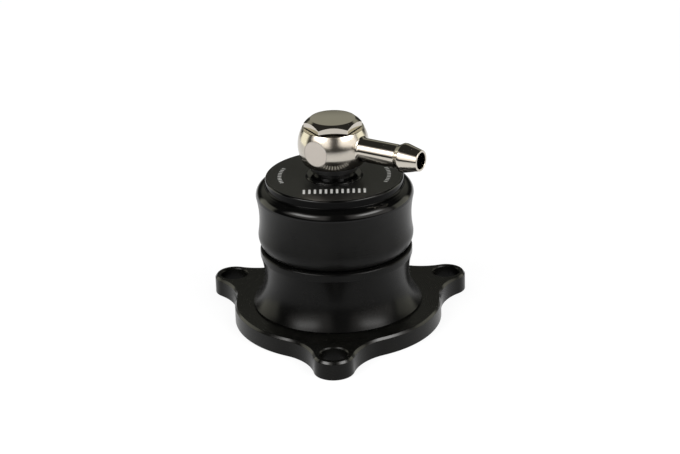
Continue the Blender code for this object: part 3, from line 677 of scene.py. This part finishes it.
# Name, colour, roughness and, for some, strength of reflection and depth of the grooves
SATIN_BLACK = anodised("satin_black", (0.0045, 0.0045, 0.0043), 0.30, 0.125, 0.10, brushed=0.75)
BRIGHT_BLACK = anodised("bright_black", (0.0020, 0.0020, 0.0020), 0.07, 0.23)
RIM_BLACK = anodised("rim_black", (0.0020, 0.0020, 0.0020), 0.14, 0.06)
FLAT_BLACK = anodised("flat_black", (0.007, 0.007, 0.0066), 0.36, 0.32, 0.12, marks=plain_marks)
BASE_BLACK = anodised("base_black", (0.0035, 0.0035, 0.0033), 0.24, 0.11, 0.08, brushed=0.8)
FLANGE_BLACK = anodised("flange_black", (0.0040, 0.0040, 0.0034), 0.28, 0.13)
EDGE_BLACK = anodised("edge_black", (0.0040, 0.0040, 0.0036), 0.16, 0.27)
NICKEL = plated("nickel", (0.56, 0.52, 0.46), 0.06)
NICKEL_BALL = plated("nickel_ball", (0.50, 0.465, 0.41), 0.17)
NICKEL_TUBE = plated("nickel_tube", (0.56, 0.52, 0.46), 0.09)
# The facet's flat, with painted shade on the ring at its edge
NICKEL_MATT = plated("nickel_flat", (0.535, 0.49, 0.44), 0.22, shaded_facet_ring)
WASHER_BLACK = moulded("washer_black", (0.010, 0.010, 0.010), 0.35)
RUBBER = moulded("rubber_black", (0.012, 0.012, 0.012), 0.55)
GREY_HARD = anodised("hard_grey", (0.09, 0.09, 0.085), 0.38, 0.5, 0.12)
GUIDE = moulded("guide_brown", (0.30, 0.22, 0.13), 0.5)
STEEL = plated("spring_wire", (0.50, 0.50, 0.51), 0.25)


# Base


def ear_heading(index):
    """The direction of an ear in degrees. The first points to the front."""
    return -90 + 360 / EAR_COUNT * index


def flange_outline(offset):
    """The flange's edge, moved in by an offset. All its parts are round, so only their radii change."""
    disc = FLANGE_RADIUS - offset
    ear = EAR_RADIUS - offset
    blend = EAR_BLEND_RADIUS + offset
    disc_reach = FLANGE_RADIUS + EAR_BLEND_RADIUS
    ear_reach = EAR_RADIUS + EAR_BLEND_RADIUS
    cosine = (disc_reach**2 + BOLT_CIRCLE_RADIUS**2 - ear_reach**2) / (2 * disc_reach * BOLT_CIRCLE_RADIUS)
    turn = math.acos(cosine)
    meeting = disc_reach * math.sin(turn), disc_reach * cosine - BOLT_CIRCLE_RADIUS
    ear_tangent = math.degrees(math.atan2(*meeting))
    turn = math.degrees(turn)
    outline = []
    for index in range(EAR_COUNT):
        heading = ear_heading(index)
        angle = math.radians(heading)
        centre = BOLT_CIRCLE_RADIUS * math.cos(angle), BOLT_CIRCLE_RADIUS * math.sin(angle)
        for side in (-1, 1):
            blend_angle = math.radians(heading + side * turn)
            middle = disc_reach * math.cos(blend_angle), disc_reach * math.sin(blend_angle)
            at_disc = heading + side * (turn + 180)
            at_ear = heading + side * (ear_tangent - 180)
            at_ear += 360 * round((at_disc - at_ear) / 360)
            if side < 0:
                outline += arc(middle, blend, at_disc, at_ear, BLEND_STEPS)[:-1]
                outline += arc(centre, ear, heading - ear_tangent, heading + ear_tangent, EAR_STEPS)[:-1]
            else:
                outline += arc(middle, blend, at_ear, at_disc, BLEND_STEPS)[:-1]
        outline += arc((0, 0), disc, heading + turn, ear_heading(index + 1) - turn, DISC_STEPS)[:-1]
    return outline


def flange_rings():
    """The flange's outlines and their heights, up its side and over the chamfer with its two eased edges."""
    ease = FLANGE_EASE
    low = FLANGE_UNDER_CHAMFER
    top = FLANGE_THICKNESS
    cut = FLANGE_CHAMFER
    drop = cut * EDGE_STEEPNESS
    steps = [(low, 0.0), (0.0, low)]
    run = ease * CHAMFER_RUN
    rise = ease * CHAMFER_RISE
    steps += curve((0.0, top - drop - ease), (0.0, top - drop), (run, top - drop + rise))
    steps += curve((cut - run, top - rise), (cut, top), (cut + ease, top))
    return [(flange_outline(offset), height) for offset, height in steps]


def base_outside():
    flare_centre = (NECK_RADIUS + FLARE_RADIUS, NECK_HEIGHT)
    lip_centre = (NECK_RADIUS + LIP_SWEEP_RADIUS, NECK_HEIGHT)
    lip_edge = LIP_RADIUS - LIP_ROUND
    lip_low = NECK_HEIGHT + math.sqrt(LIP_SWEEP_RADIUS**2 - (lip_centre[0] - LIP_RADIUS) ** 2)
    profile = [(0.0, BODY_BOTTOM), (FOOT_RADIUS, BODY_BOTTOM)]
    profile += arc((FOOT_RADIUS - FOOT_ROUND, FOOT_TOP - FOOT_ROUND), FOOT_ROUND, 0, 90, FOOT_STEPS)
    profile += hollow(flare_centre, FLARE_RADIUS, FOOT_TOP, NECK_HEIGHT, FLARE_STEPS)
    profile += hollow(lip_centre, LIP_SWEEP_RADIUS, NECK_HEIGHT, lip_low, LIP_SWEEP_STEPS)[1:]
    profile += arc((lip_edge, LIP_TOP - LIP_ROUND), LIP_ROUND, 0, 90, FILLET_STEPS)
    profile += [(SPIGOT_RADIUS, LIP_TOP), (SPIGOT_RADIUS, SPIGOT_TOP), (0.0, SPIGOT_TOP)]
    return profile


def base_inside():
    profile = [(0.0, -CUT_MARGIN), (GALLERY_RADIUS, -CUT_MARGIN)]
    round_centre = (GALLERY_RADIUS - GALLERY_ROUND, STOP_BOTTOM - GALLERY_ROUND)
    profile += arc(round_centre, GALLERY_ROUND, 0, 90, FILLET_STEPS)
    profile += [(STOP_RADIUS, STOP_BOTTOM), (STOP_RADIUS, STOP_TOP), (BORE_RADIUS, STOP_TOP)]
    profile += [(BORE_RADIUS, SPIGOT_TOP + CUT_MARGIN), (0.0, SPIGOT_TOP + CUT_MARGIN)]
    return profile


def bolt_hole_place(index):
    angle = math.radians(ear_heading(index))
    return Vector((BOLT_CIRCLE_RADIUS * math.cos(angle), BOLT_CIRCLE_RADIUS * math.sin(angle), 0.0))


def round_bolt_hole(point):
    """Whether a point lies within a bolt hole or on its chamfer."""
    flat = Vector((point.x, point.y, 0.0))
    reach = BOLT_HOLE_RADIUS + BOLT_HOLE_CHAMFER * CHAMFER_REACH
    return any((flat - bolt_hole_place(index)).length < reach for index in range(EAR_COUNT))


def bolt_hole_cutter(index):
    ease = HOLE_EASE
    top = FLANGE_THICKNESS
    cut = BOLT_HOLE_CHAMFER
    profile = [(0.0, -CUT_MARGIN), (BOLT_HOLE_RADIUS, -CUT_MARGIN), (BOLT_HOLE_RADIUS, top - cut - ease)]
    # One point between the wall and the chamfer eases that edge.
    profile += [(BOLT_HOLE_RADIUS + ease * 0.4, top - cut + ease * 0.2)]
    profile += [(BOLT_HOLE_RADIUS + cut, top), (BOLT_HOLE_RADIUS + cut + ease * 2, top + CUT_MARGIN)]
    profile += [(0.0, top + CUT_MARGIN)]
    mesh = turned_mesh("hole", profile, SMALL_ROUND_STEPS)
    mesh.transform(Matrix.Translation(bolt_hole_place(index)))
    return mesh


def make_base():
    flange = link("base_flange", loft_mesh("base_flange", flange_rings()), FLANGE_BLACK, EDGE_BLACK)
    half = FLANGE_SEAL_SECTION / 2 + GROOVE_SIDE_GAP
    depth = FLANGE_SEAL_SECTION + GROOVE_FLOOR_GAP
    inner = FLANGE_SEAL_RADIUS - half
    outer = FLANGE_SEAL_RADIUS + half
    section = [(outer, depth), (outer, -CUT_MARGIN), (inner, -CUT_MARGIN), (inner, depth)]
    groove = turned_mesh("groove", section)
    middle = turned_mesh("middle", base_inside())
    combine(flange, "DIFFERENCE", middle, groove, *[bolt_hole_cutter(index) for index in range(EAR_COUNT)])
    chamfer_low = FLANGE_THICKNESS - FLANGE_CHAMFER * CHAMFER_REACH
    for face in flange.data.polygons:
        sloped = face.center.z > chamfer_low and SLOPED[0] < face.normal.z < SLOPED[1]
        if sloped and not round_bolt_hole(face.center):
            face.material_index = 1
    even_normals(flange)
    body = link("base_body", turned_mesh("base_body", base_outside()), BASE_BLACK)
    combine(body, "DIFFERENCE", turned_mesh("inside", base_inside()))
    even_normals(body)
    for obj in (flange, body):
        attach(obj, "valve_body")
    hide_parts("base")


def make_seals():
    centre = (FLANGE_SEAL_RADIUS, FLANGE_SEAL_HEIGHT)
    section = arc(centre, FLANGE_SEAL_SECTION / 2, 0, 360, SEAL_STEPS)[:-1]
    seal = turned("flange_seal_ring", section, RUBBER)
    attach(seal, "valve_body")
    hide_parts("flange_seal")


# Cap


def cap_profile():
    """The cap's outside in four stretches from below: the band, the waist, the shoulder and the rim."""
    band_low = CAP_BOTTOM + CAP_EDGE
    waist_centre = (WAIST_RADIUS + WAIST_SWEEP_RADIUS, WAIST_HEIGHT)
    reach = WAIST_SWEEP_RADIUS + BAND_ROUND
    slope = math.acos((waist_centre[0] - (BAND_RADIUS - BAND_ROUND)) / reach)
    band_centre = (BAND_RADIUS - BAND_ROUND, WAIST_HEIGHT - reach * math.sin(slope))
    band_start = math.degrees(math.asin((band_low - band_centre[1]) / BAND_ROUND))
    meeting = band_centre[1] + BAND_ROUND * math.sin(slope)
    sweep_rise = SHOULDER_HEIGHT - WAIST_HEIGHT
    rim = waist_centre[0] - math.sqrt(WAIST_SWEEP_RADIUS**2 - sweep_rise**2) - SHOULDER_ROUND
    band = arc(band_centre, BAND_ROUND, band_start, math.degrees(slope), BAND_STEPS)[:-1]
    waist = hollow(waist_centre, WAIST_SWEEP_RADIUS, meeting, SHOULDER_HEIGHT, WAIST_STEPS)
    shoulder_end = math.degrees(math.acos(RIM_FILLET / SHOULDER_ROUND))
    shoulder = arc((rim, SHOULDER_HEIGHT), SHOULDER_ROUND, 0, shoulder_end, SHOULDER_STEPS)[1:]
    fillet_centre = (rim + RIM_FILLET, shoulder[-1][1] + RIM_FILLET)
    shoulder += arc(fillet_centre, RIM_FILLET, 270, 180, FILLET_STEPS)[1:]
    top = arc((rim - CAP_RIM_CHAMFER, CAP_TOP - CAP_RIM_CHAMFER), CAP_RIM_CHAMFER, 0, 90, RIM_STEPS)
    return band, waist, shoulder, top


def cap_finish(centre, rim_radius, wall_radius):
    """The finish of a face by its centre.

    0 is the satin of the sides and the inside, 1 the bright shoulder, rim and boss, 2 the flat top and 3 the
    wall below the rim.
    """
    radius = math.hypot(centre.x, centre.y)
    if centre.z > CAP_TOP - FACE_MARGIN and radius < rim_radius - RIM_MARGIN:
        on_top = radius > CAP_BOSS_RADIUS + FACE_MARGIN and centre.z < CAP_TOP + FACE_MARGIN
        return 2 if on_top else 1
    on_wall = SHOULDER_HEIGHT + SHOULDER_ROUND < centre.z < CAP_TOP - CAP_RIM_CHAMFER
    if on_wall and abs(radius - wall_radius) < WALL_MARGIN:
        return 3
    return 1 if centre.z > SHOULDER_HEIGHT and radius > CHAMBER_RADIUS + INSIDE_MARGIN else 0


def make_cap():
    band, waist, shoulder, top = cap_profile()
    satin = [(CAP_WALL_RADIUS, CAP_BOTTOM), (band[0][0] - CAP_EDGE, CAP_BOTTOM)] + band + waist
    boss = [(CAP_BOSS_RADIUS, CAP_TOP), (CAP_BOSS_RADIUS, CAP_BOSS_TOP - CAP_BOSS_CHAMFER)]
    boss += [(CAP_BOSS_RADIUS - CAP_BOSS_CHAMFER, CAP_BOSS_TOP), (COLLAR_RADIUS, CAP_BOSS_TOP)]
    boss += [(COLLAR_RADIUS, COLLAR_TOP), (BOLT_HOLE_IN_CAP, COLLAR_TOP), (BOLT_HOLE_IN_CAP, ROOF_UNDERSIDE)]
    boss += [(CHAMBER_RADIUS, ROOF_UNDERSIDE), (CHAMBER_RADIUS, CAP_SHELF), (CAP_WALL_RADIUS, CAP_SHELF)]
    mesh = turned_mesh("cap_body", eased(satin + shoulder + top + boss, CAP_EASE))
    cap = link("cap_body", mesh, SATIN_BLACK, BRIGHT_BLACK, FLAT_BLACK, RIM_BLACK)
    for face in mesh.polygons:
        face.material_index = cap_finish(face.center, top[-1][0], top[0][0])
    mark_sharp(mesh, SHOULDER_HEIGHT)
    even_normals(cap)
    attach(cap, "valve_body")
    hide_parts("cap")


# Banjo fitting, its washer and its bolt


def sideways(turn):
    """Lays a Z axis down at the ball's centre, towards a turn about the valve's axis."""
    along = Matrix.Rotation(turn, 4, "Z") @ Matrix.Rotation(math.pi / 2, 4, "Y")
    return Matrix.Translation((0, 0, BANJO_CENTRE)) @ along


def make_banjo():
    tilt = math.degrees(math.asin(BANJO_HALF_HEIGHT / BANJO_RADIUS))
    profile = [(BANJO_BORE_RADIUS, BANJO_CENTRE - BANJO_HALF_HEIGHT)]
    profile += arc((0.0, BANJO_CENTRE), BANJO_RADIUS, -tilt, tilt, BALL_STEPS)
    profile += [(BANJO_BORE_RADIUS, BANJO_CENTRE + BANJO_HALF_HEIGHT)]
    mesh = turned_mesh("banjo_ball", eased(profile, BALL_EASE))
    banjo = link("banjo_ball", mesh, NICKEL_BALL, NICKEL_MATT)
    facet = [(0, FACET_DISTANCE), (BANJO_RADIUS, FACET_DISTANCE)]
    facet += [(BANJO_RADIUS, FACET_CUT_END), (0, FACET_CUT_END)]
    cut = turned_mesh("facet", facet, FACET_CUT_STEPS)
    cut.transform(sideways(FACET_TURN))
    combine(banjo, "DIFFERENCE", cut)
    towards = facet_direction()
    for face in banjo.data.polygons:
        flat = face.normal.dot(towards) > FACING
        if flat and abs(face.center.dot(towards) - FACET_DISTANCE) < LEVEL_MARGIN:
            face.material_index = 1
    mark_border(banjo.data)
    even_normals(banjo)
    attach(banjo, "valve_body")
    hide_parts("banjo_body")


def make_nipple():
    ridge = BARB_BACK + BARB_BACK_LENGTH
    root = math.sqrt(BANJO_RADIUS**2 - NIPPLE_RADIUS**2)
    outside = [(NIPPLE_RADIUS + wider, root + further) for wider, further in NIPPLE_ROOT]
    outside += [(NIPPLE_RADIUS, BARB_BACK), (BARB_RADIUS, ridge)]
    outside += [(BARB_RADIUS, ridge + BARB_LAND), (MOUTH_RADIUS, NIPPLE_LENGTH)]
    outside += [(NIPPLE_BORE_RADIUS, NIPPLE_LENGTH), (NIPPLE_BORE_RADIUS, root - NIPPLE_SOCKET_DEPTH)]
    outside += [(NIPPLE_RADIUS, root - NIPPLE_SOCKET_DEPTH)]
    mesh = turned_mesh("hose_tube", eased(outside, TUBE_EASE), SMALL_ROUND_STEPS)
    mesh.transform(sideways(NIPPLE_TURN))
    tube = even_normals(link("hose_tube", mesh, NICKEL_TUBE))
    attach(tube, "valve_body")
    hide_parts("hose_nipple")


def make_washer():
    profile = [(BOLT_HOLE_IN_CAP, WASHER_BOTTOM), (WASHER_RADIUS, WASHER_BOTTOM), (WASHER_RADIUS, WASHER_TOP)]
    profile += [(BOLT_HOLE_IN_CAP, WASHER_TOP)]
    washer = turned("washer_lower", eased(profile, WASHER_EASE), WASHER_BLACK)
    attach(washer, "valve_body")
    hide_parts("lower_seal_washer")


def make_bolt():
    corner = HEX_ACROSS_FLATS / 2 / math.cos(math.pi / 6) - HEX_CORNER_ROUND
    reach = HEX_CORNER_ROUND * math.cos(math.pi / 6)
    outline = []
    for side in range(6):
        angle = HEX_TURN + math.tau * side / 6
        centre = corner * math.cos(angle), corner * math.sin(angle)
        heading = math.degrees(angle)
        outline += arc(centre, reach, heading - 30, heading + 30, HEX_CORNER_STEPS)
    mesh = loft_mesh("bolt_head", [(outline, HEX_BOTTOM), (outline, HEX_TOP + CUT_MARGIN)])
    head = link("bolt_head", mesh, NICKEL)
    wide = HEX_ACROSS_FLATS
    drop = (wide - HEX_TOP_RADIUS) * math.tan(HEX_CHAMFER_ANGLE)
    blank_low = HEX_BOTTOM - CUT_MARGIN - drop
    blank = [(0.0, blank_low), (wide, blank_low), (wide, HEX_TOP - drop)]
    blank += [(HEX_TOP_RADIUS, HEX_TOP), (0.0, HEX_TOP)]
    shank_top = HEX_BOTTOM + BOLT_OVERLAP
    shank = [(0.0, BOLT_END), (BOLT_SHANK_RADIUS, BOLT_END), (BOLT_SHANK_RADIUS, shank_top), (0.0, shank_top)]
    combine(head, "INTERSECT", turned_mesh("blank", eased(blank, HEX_EASE)))
    combine(head, "UNION", turned_mesh("shank", shank, SMALL_ROUND_STEPS))
    even_normals(head)
    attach(head, "valve_body")
    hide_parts("banjo_bolt")


# Piston and the pieces inside


def make_piston():
    profile = [(0.0, NOSE_RECESS), (NOSE_RADIUS - NOSE_CHAMFER, NOSE_RECESS)]
    profile += [(NOSE_RADIUS, NOSE_RECESS + NOSE_CHAMFER), (NOSE_RADIUS, PISTON_SHOULDER)]
    profile += [(PISTON_RADIUS, PISTON_SHOULDER), (PISTON_RADIUS, PISTON_TOP)]
    profile += [(PISTON_CUP_RADIUS, PISTON_TOP), (PISTON_CUP_RADIUS, PISTON_CUP_BOTTOM)]
    profile += [(NOSE_CUP_RADIUS, PISTON_SHOULDER), (NOSE_CUP_RADIUS, NOSE_FLOOR)]
    profile += [(CENTRING_RADIUS, NOSE_FLOOR), (CENTRING_RADIUS, CENTRING_TOP), (0.0, CENTRING_TOP)]
    piston = turned("piston_cup", eased(profile, PISTON_EASE), GREY_HARD)
    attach(piston, "piston_group")
    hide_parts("piston")


def spring_height(turn):
    """The height of the wire's centre after a number of turns: shut turns at both ends, open ones between."""
    low = SPRING_BOTTOM + SPRING_WIRE / 2
    high = SPRING_TOP - SPRING_WIRE / 2
    shut_rise = SPRING_WIRE + SPRING_END_GAP
    open_rise = (high - low - 2 * SPRING_END_TURNS * shut_rise) / SPRING_ACTIVE_TURNS
    if turn < SPRING_END_TURNS:
        return low + turn * shut_rise
    if turn > SPRING_END_TURNS + SPRING_ACTIVE_TURNS:
        return high - (2 * SPRING_END_TURNS + SPRING_ACTIVE_TURNS - turn) * shut_rise
    return low + SPRING_END_TURNS * shut_rise + (turn - SPRING_END_TURNS) * open_rise


def make_spring():
    """The coil as it stands at rest. In the valve it shortens towards the cap's roof as the piston lifts."""
    turns = SPRING_ACTIVE_TURNS + 2 * SPRING_END_TURNS
    steps = round(turns * SPRING_STEPS_PER_TURN)
    shape = bmesh.new()
    rings = []
    for step in range(steps + 1):
        turn = turns * step / steps
        angle = turn * math.tau
        ring = []
        centre = (SPRING_MEAN_RADIUS, spring_height(turn))
        for radius, height in arc(centre, SPRING_WIRE / 2, 0, 360, SPRING_SIDES)[:-1]:
            ring.append(shape.verts.new((radius * math.cos(angle), radius * math.sin(angle), height)))
        rings.append(ring)
    for first, second in zip(rings, rings[1:]):
        for side in range(SPRING_SIDES):
            after = (side + 1) % SPRING_SIDES
            shape.faces.new((first[side], first[after], second[after], second[side]))
    shape.faces.new(rings[0])
    shape.faces.new(rings[-1])
    coil = link("spring_coil", finish_mesh("spring_coil", shape), STEEL)
    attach(coil, "valve_body")
    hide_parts("spring")
    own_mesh(coil)


def dress_hidden():
    """The nodes that stay as they are get a finish in place of the flat colour."""
    finishes = {
        "piston_seal": RUBBER,
        "cap_seal": RUBBER,
        "guide_ring": GUIDE,
        "upper_seal_washer": WASHER_BLACK,
    }
    for node, material in finishes.items():
        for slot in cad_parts[node].material_slots:
            slot.material = material


# Studio


def camera_axes():
    level = math.cos(CAMERA_PITCH)
    forward = Vector((math.sin(CAMERA_YAW) * level, math.cos(CAMERA_YAW) * level, -math.sin(CAMERA_PITCH)))
    right = Vector((math.cos(CAMERA_YAW), -math.sin(CAMERA_YAW), 0.0))
    up = right.cross(forward)
    rolled_right = math.cos(CAMERA_ROLL) * right + math.sin(CAMERA_ROLL) * up
    rolled_up = -math.sin(CAMERA_ROLL) * right + math.cos(CAMERA_ROLL) * up
    turn = Matrix.Rotation(CAMERA_TURN, 3, "Z")
    return turn @ rolled_right, turn @ rolled_up, turn @ forward


def make_camera():
    right, up, forward = camera_axes()
    data = bpy.data.cameras.new("camera")
    data.lens = LENS
    data.sensor_width = SENSOR
    data.sensor_fit = "HORIZONTAL"
    data.clip_start = CAMERA_NEAR
    data.clip_end = CAMERA_FAR
    camera = bpy.data.objects.new("camera", data)
    matrix = Matrix((right, up, -forward)).transposed().to_4x4()
    matrix.translation = CAMERA_PLACE
    camera.matrix_world = matrix
    bpy.context.scene.collection.objects.link(camera)
    bpy.context.scene.camera = camera


def direction(azimuth, elevation):
    """A direction from the object, in degrees. Azimuth is 0 at the camera and grows to the viewer's right."""
    turn = math.radians(azimuth) + CAMERA_TURN - math.pi / 2
    rise = math.radians(elevation)
    return Vector((math.cos(rise) * math.cos(turn), math.cos(rise) * math.sin(turn), math.sin(rise)))


def softbox(name, azimuth):
    """A soft lamp that lights the part but shows in no reflection."""
    data = bpy.data.lights.new(name, "AREA")
    data.shape = "RECTANGLE"
    data.size = LAMP_WIDTH
    data.size_y = LAMP_HEIGHT
    data.energy = LAMP_STRENGTH * LAMP_WIDTH * LAMP_HEIGHT * math.pi
    obj = bpy.data.objects.new(name, data)
    outward = direction(azimuth, LAMP_RISE)
    obj.matrix_world = (-outward).to_track_quat("-Z", "Y").to_matrix().to_4x4()
    obj.matrix_world.translation = LAMP_TARGET + outward * LAMP_DISTANCE
    obj.visible_camera = False
    obj.visible_glossy = False
    bpy.context.scene.collection.objects.link(obj)


class Tent(Graph):
    """The colour of each direction round the object, as soft-edged areas laid over one another."""

    def step(self, value, edge, soft, rising=True):
        low, high = (0.0, 1.0) if rising else (1.0, 0.0)
        return self.map_range(value, edge - soft, edge + soft, low, high, "SMOOTHSTEP")

    def band(self, value, low, high, soft):
        return self.maths("MULTIPLY", self.step(value, low, soft), self.step(value, high, soft, False))

    def lay(self, colour, first, second, under):
        """Lays a colour over the one under it where both masks are one."""
        return self.mix(self.maths("MULTIPLY", first, second), under, colour)


def painted_tent():
    """What shiny pieces reflect.

    Two soft windows stand beside the camera with a dark gap between them. There are pale walls at the sides,
    and a dimmer wall and foot behind.
    """
    material = bpy.data.materials.new("studio_tent")
    material.use_nodes = True
    material.node_tree.nodes.clear()
    tent = Tent(material.node_tree)
    outward = tent.add("ShaderNodeVectorMath", operation="NORMALIZE")
    tent.join(tent.add("ShaderNodeTexCoord").outputs["Object"], outward.inputs[0])
    x, y, z = tent.split(outward.outputs[0])
    turn = tent.maths("ARCTAN2", x, tent.maths("MULTIPLY", y, -1.0))
    azimuth = tent.maths("MULTIPLY", turn, math.degrees(1.0))
    elevation = tent.maths("MULTIPLY", tent.maths("ARCSINE", z), math.degrees(1.0))
    aside = tent.maths("ABSOLUTE", azimuth)
    back = tent.step(aside, *TENT_BACK_TURN)
    colour = tent.lay(TENT_BACK, back, tent.band(elevation, *TENT_BACK_RISE), TENT_DARK)
    foot = tent.step(aside, *TENT_FOOT_TURN)
    colour = tent.lay(TENT_FOOT, foot, tent.step(elevation, *TENT_FOOT_RISE, False), colour)
    beside = tent.maths("ABSOLUTE", tent.maths("ADD", azimuth, TENT_SIDE_SHIFT))
    side = tent.band(beside, *TENT_SIDE_TURN)
    colour = tent.lay(TENT_SIDE, side, tent.step(elevation, *TENT_SIDE_RISE, False), colour)
    gap = tent.band(azimuth, *TENT_GAP_TURN)
    colour = tent.lay(TENT_GAP, gap, tent.band(elevation, *TENT_GAP_RISE), colour)
    # The lower edge of the glow slopes a little towards the outside: down on the right and up on the left.
    outside = tent.maths("MAXIMUM", tent.maths("SUBTRACT", azimuth, GLOW_RIGHT_SLOPE_START), 0.0)
    fallen = tent.maths("ADD", elevation, tent.maths("MULTIPLY", outside, GLOW_RIGHT_SLOPE))
    outside = tent.maths("MAXIMUM", tent.maths("SUBTRACT", -GLOW_LEFT_SLOPE_START, azimuth), 0.0)
    risen = tent.maths("SUBTRACT", elevation, tent.maths("MULTIPLY", outside, GLOW_LEFT_SLOPE))
    left = tent.band(azimuth, *GLOW_LEFT_TURN)
    left = tent.maths("MULTIPLY", left, tent.step(risen, *GLOW_LEFT_BOTTOM))
    right = tent.band(azimuth, *GLOW_RIGHT_TURN)
    right = tent.maths("MULTIPLY", right, tent.step(fallen, *GLOW_RIGHT_BOTTOM))
    glow = tent.maths("MAXIMUM", left, right)
    colour = tent.lay(WINDOW_GLOW, glow, tent.step(elevation, *GLOW_TOP, False), colour)
    left = tent.band(azimuth, *WINDOW_LEFT_TURN)
    right = tent.band(azimuth, *WINDOW_RIGHT_TURN)
    windows = tent.maths("MAXIMUM", left, right)
    colour = tent.lay(WINDOW, windows, tent.band(elevation, *WINDOW_RISE), colour)
    emission = tent.add("ShaderNodeEmission")
    tent.join(colour, emission.inputs["Color"])
    tent.join(emission.outputs[0], tent.add("ShaderNodeOutputMaterial").inputs["Surface"])
    material.cycles.emission_sampling = "NONE"
    return material


def make_tent():
    """A half ball round the object that only reflections see, turned so that its -Y side is the camera's."""
    shape = bmesh.new()
    around = TENT_SEGMENTS
    bmesh.ops.create_uvsphere(shape, u_segments=around, v_segments=around // 2, radius=TENT_RADIUS)
    below = [vert for vert in shape.verts if vert.co.z < -LEVEL_MARGIN]
    bmesh.ops.delete(shape, geom=below, context="VERTS")
    mesh = bpy.data.meshes.new("studio_tent")
    shape.to_mesh(mesh)
    shape.free()
    mesh.shade_smooth()
    mesh.materials.append(painted_tent())
    obj = bpy.data.objects.new("studio_tent", mesh)
    obj.rotation_euler.z = CAMERA_TURN
    obj.visible_camera = False
    obj.visible_diffuse = False
    obj.visible_transmission = False
    obj.visible_shadow = False
    bpy.context.scene.collection.objects.link(obj)


def floor_white():
    """Pale paper. Where it shows as background it glows white, and a dim grey on top carries the shadow."""
    made = Finish("floor_white", FLOOR_COLOUR, 0.9, 0.0, 0.1)
    grain = made.add("ShaderNodeTexNoise", Scale=PAPER_SCALE).outputs["Fac"]
    made.roughen(made.map_range(grain, 0.0, 1.0, *PAPER_ROUGHNESS))
    # Painted shade: the floor's glow is dimmed in front of the object, towards the camera.
    forward = made.split(made.place)[1]
    shaded = FLOOR_GLOW * FLOOR_SHADE
    strength = made.map_range(forward, -FLOOR_SHADE_FAR, -FLOOR_SHADE_NEAR, shaded, FLOOR_GLOW, "SMOOTHSTEP")
    # The camera sees the floor without the shade, which only reflections show.
    camera_ray = made.add("ShaderNodeLightPath").outputs["Is Camera Ray"]
    strength = made.maths("MAXIMUM", strength, made.maths("MULTIPLY", camera_ray, FLOOR_GLOW))
    white = made.add("ShaderNodeEmission", Color=(1.0, 1.0, 1.0, 1.0))
    made.join(strength, white.inputs["Strength"])
    shadow = made.add("ShaderNodeBsdfDiffuse", Color=(FLOOR_SHADOW, FLOOR_SHADOW, FLOOR_SHADOW, 1.0))
    shown = made.add("ShaderNodeAddShader")
    made.join(white.outputs[0], shown.inputs[0])
    made.join(shadow.outputs[0], shown.inputs[1])
    mix = made.add("ShaderNodeMixShader")
    made.join(made.background_seen(), mix.inputs["Fac"])
    made.join(made.shader.outputs[0], mix.inputs[1])
    made.join(shown.outputs[0], mix.inputs[2])
    made.join(mix.outputs[0], made.tree.nodes["Material Output"].inputs["Surface"])
    return made.material


def make_floor():
    shape = bmesh.new()
    size = FLOOR_HALF_SIZE
    corners = [(-size, -size), (size, -size), (size, size), (-size, size)]
    shape.faces.new([shape.verts.new((x, y, 0.0)) for x, y in corners])
    mesh = bpy.data.meshes.new("floor")
    shape.to_mesh(mesh)
    shape.free()
    link("floor", mesh, floor_white())


def make_world():
    world = bpy.data.worlds.new("studio")
    bpy.context.scene.world = world
    world.use_nodes = True
    sky = Graph(world.node_tree)
    background = sky.tree.nodes["Background"]
    strength = sky.map_range(sky.background_seen(), 0.0, 1.0, WORLD_LIGHT, 1.0)
    sky.join(strength, background.inputs["Strength"])
    background.inputs["Color"].default_value = (1.0, 1.0, 1.0, 1.0)


def make_studio():
    make_world()
    make_floor()
    softbox("softbox_left", -LAMP_TURN)
    softbox("softbox_right", LAMP_TURN)
    make_tent()


make_camera()
make_base()
make_seals()
make_cap()
make_banjo()
make_nipple()
make_washer()
make_bolt()
make_piston()
make_spring()
dress_hidden()
make_studio()

bpy.context.scene.view_settings.view_transform = "Standard"
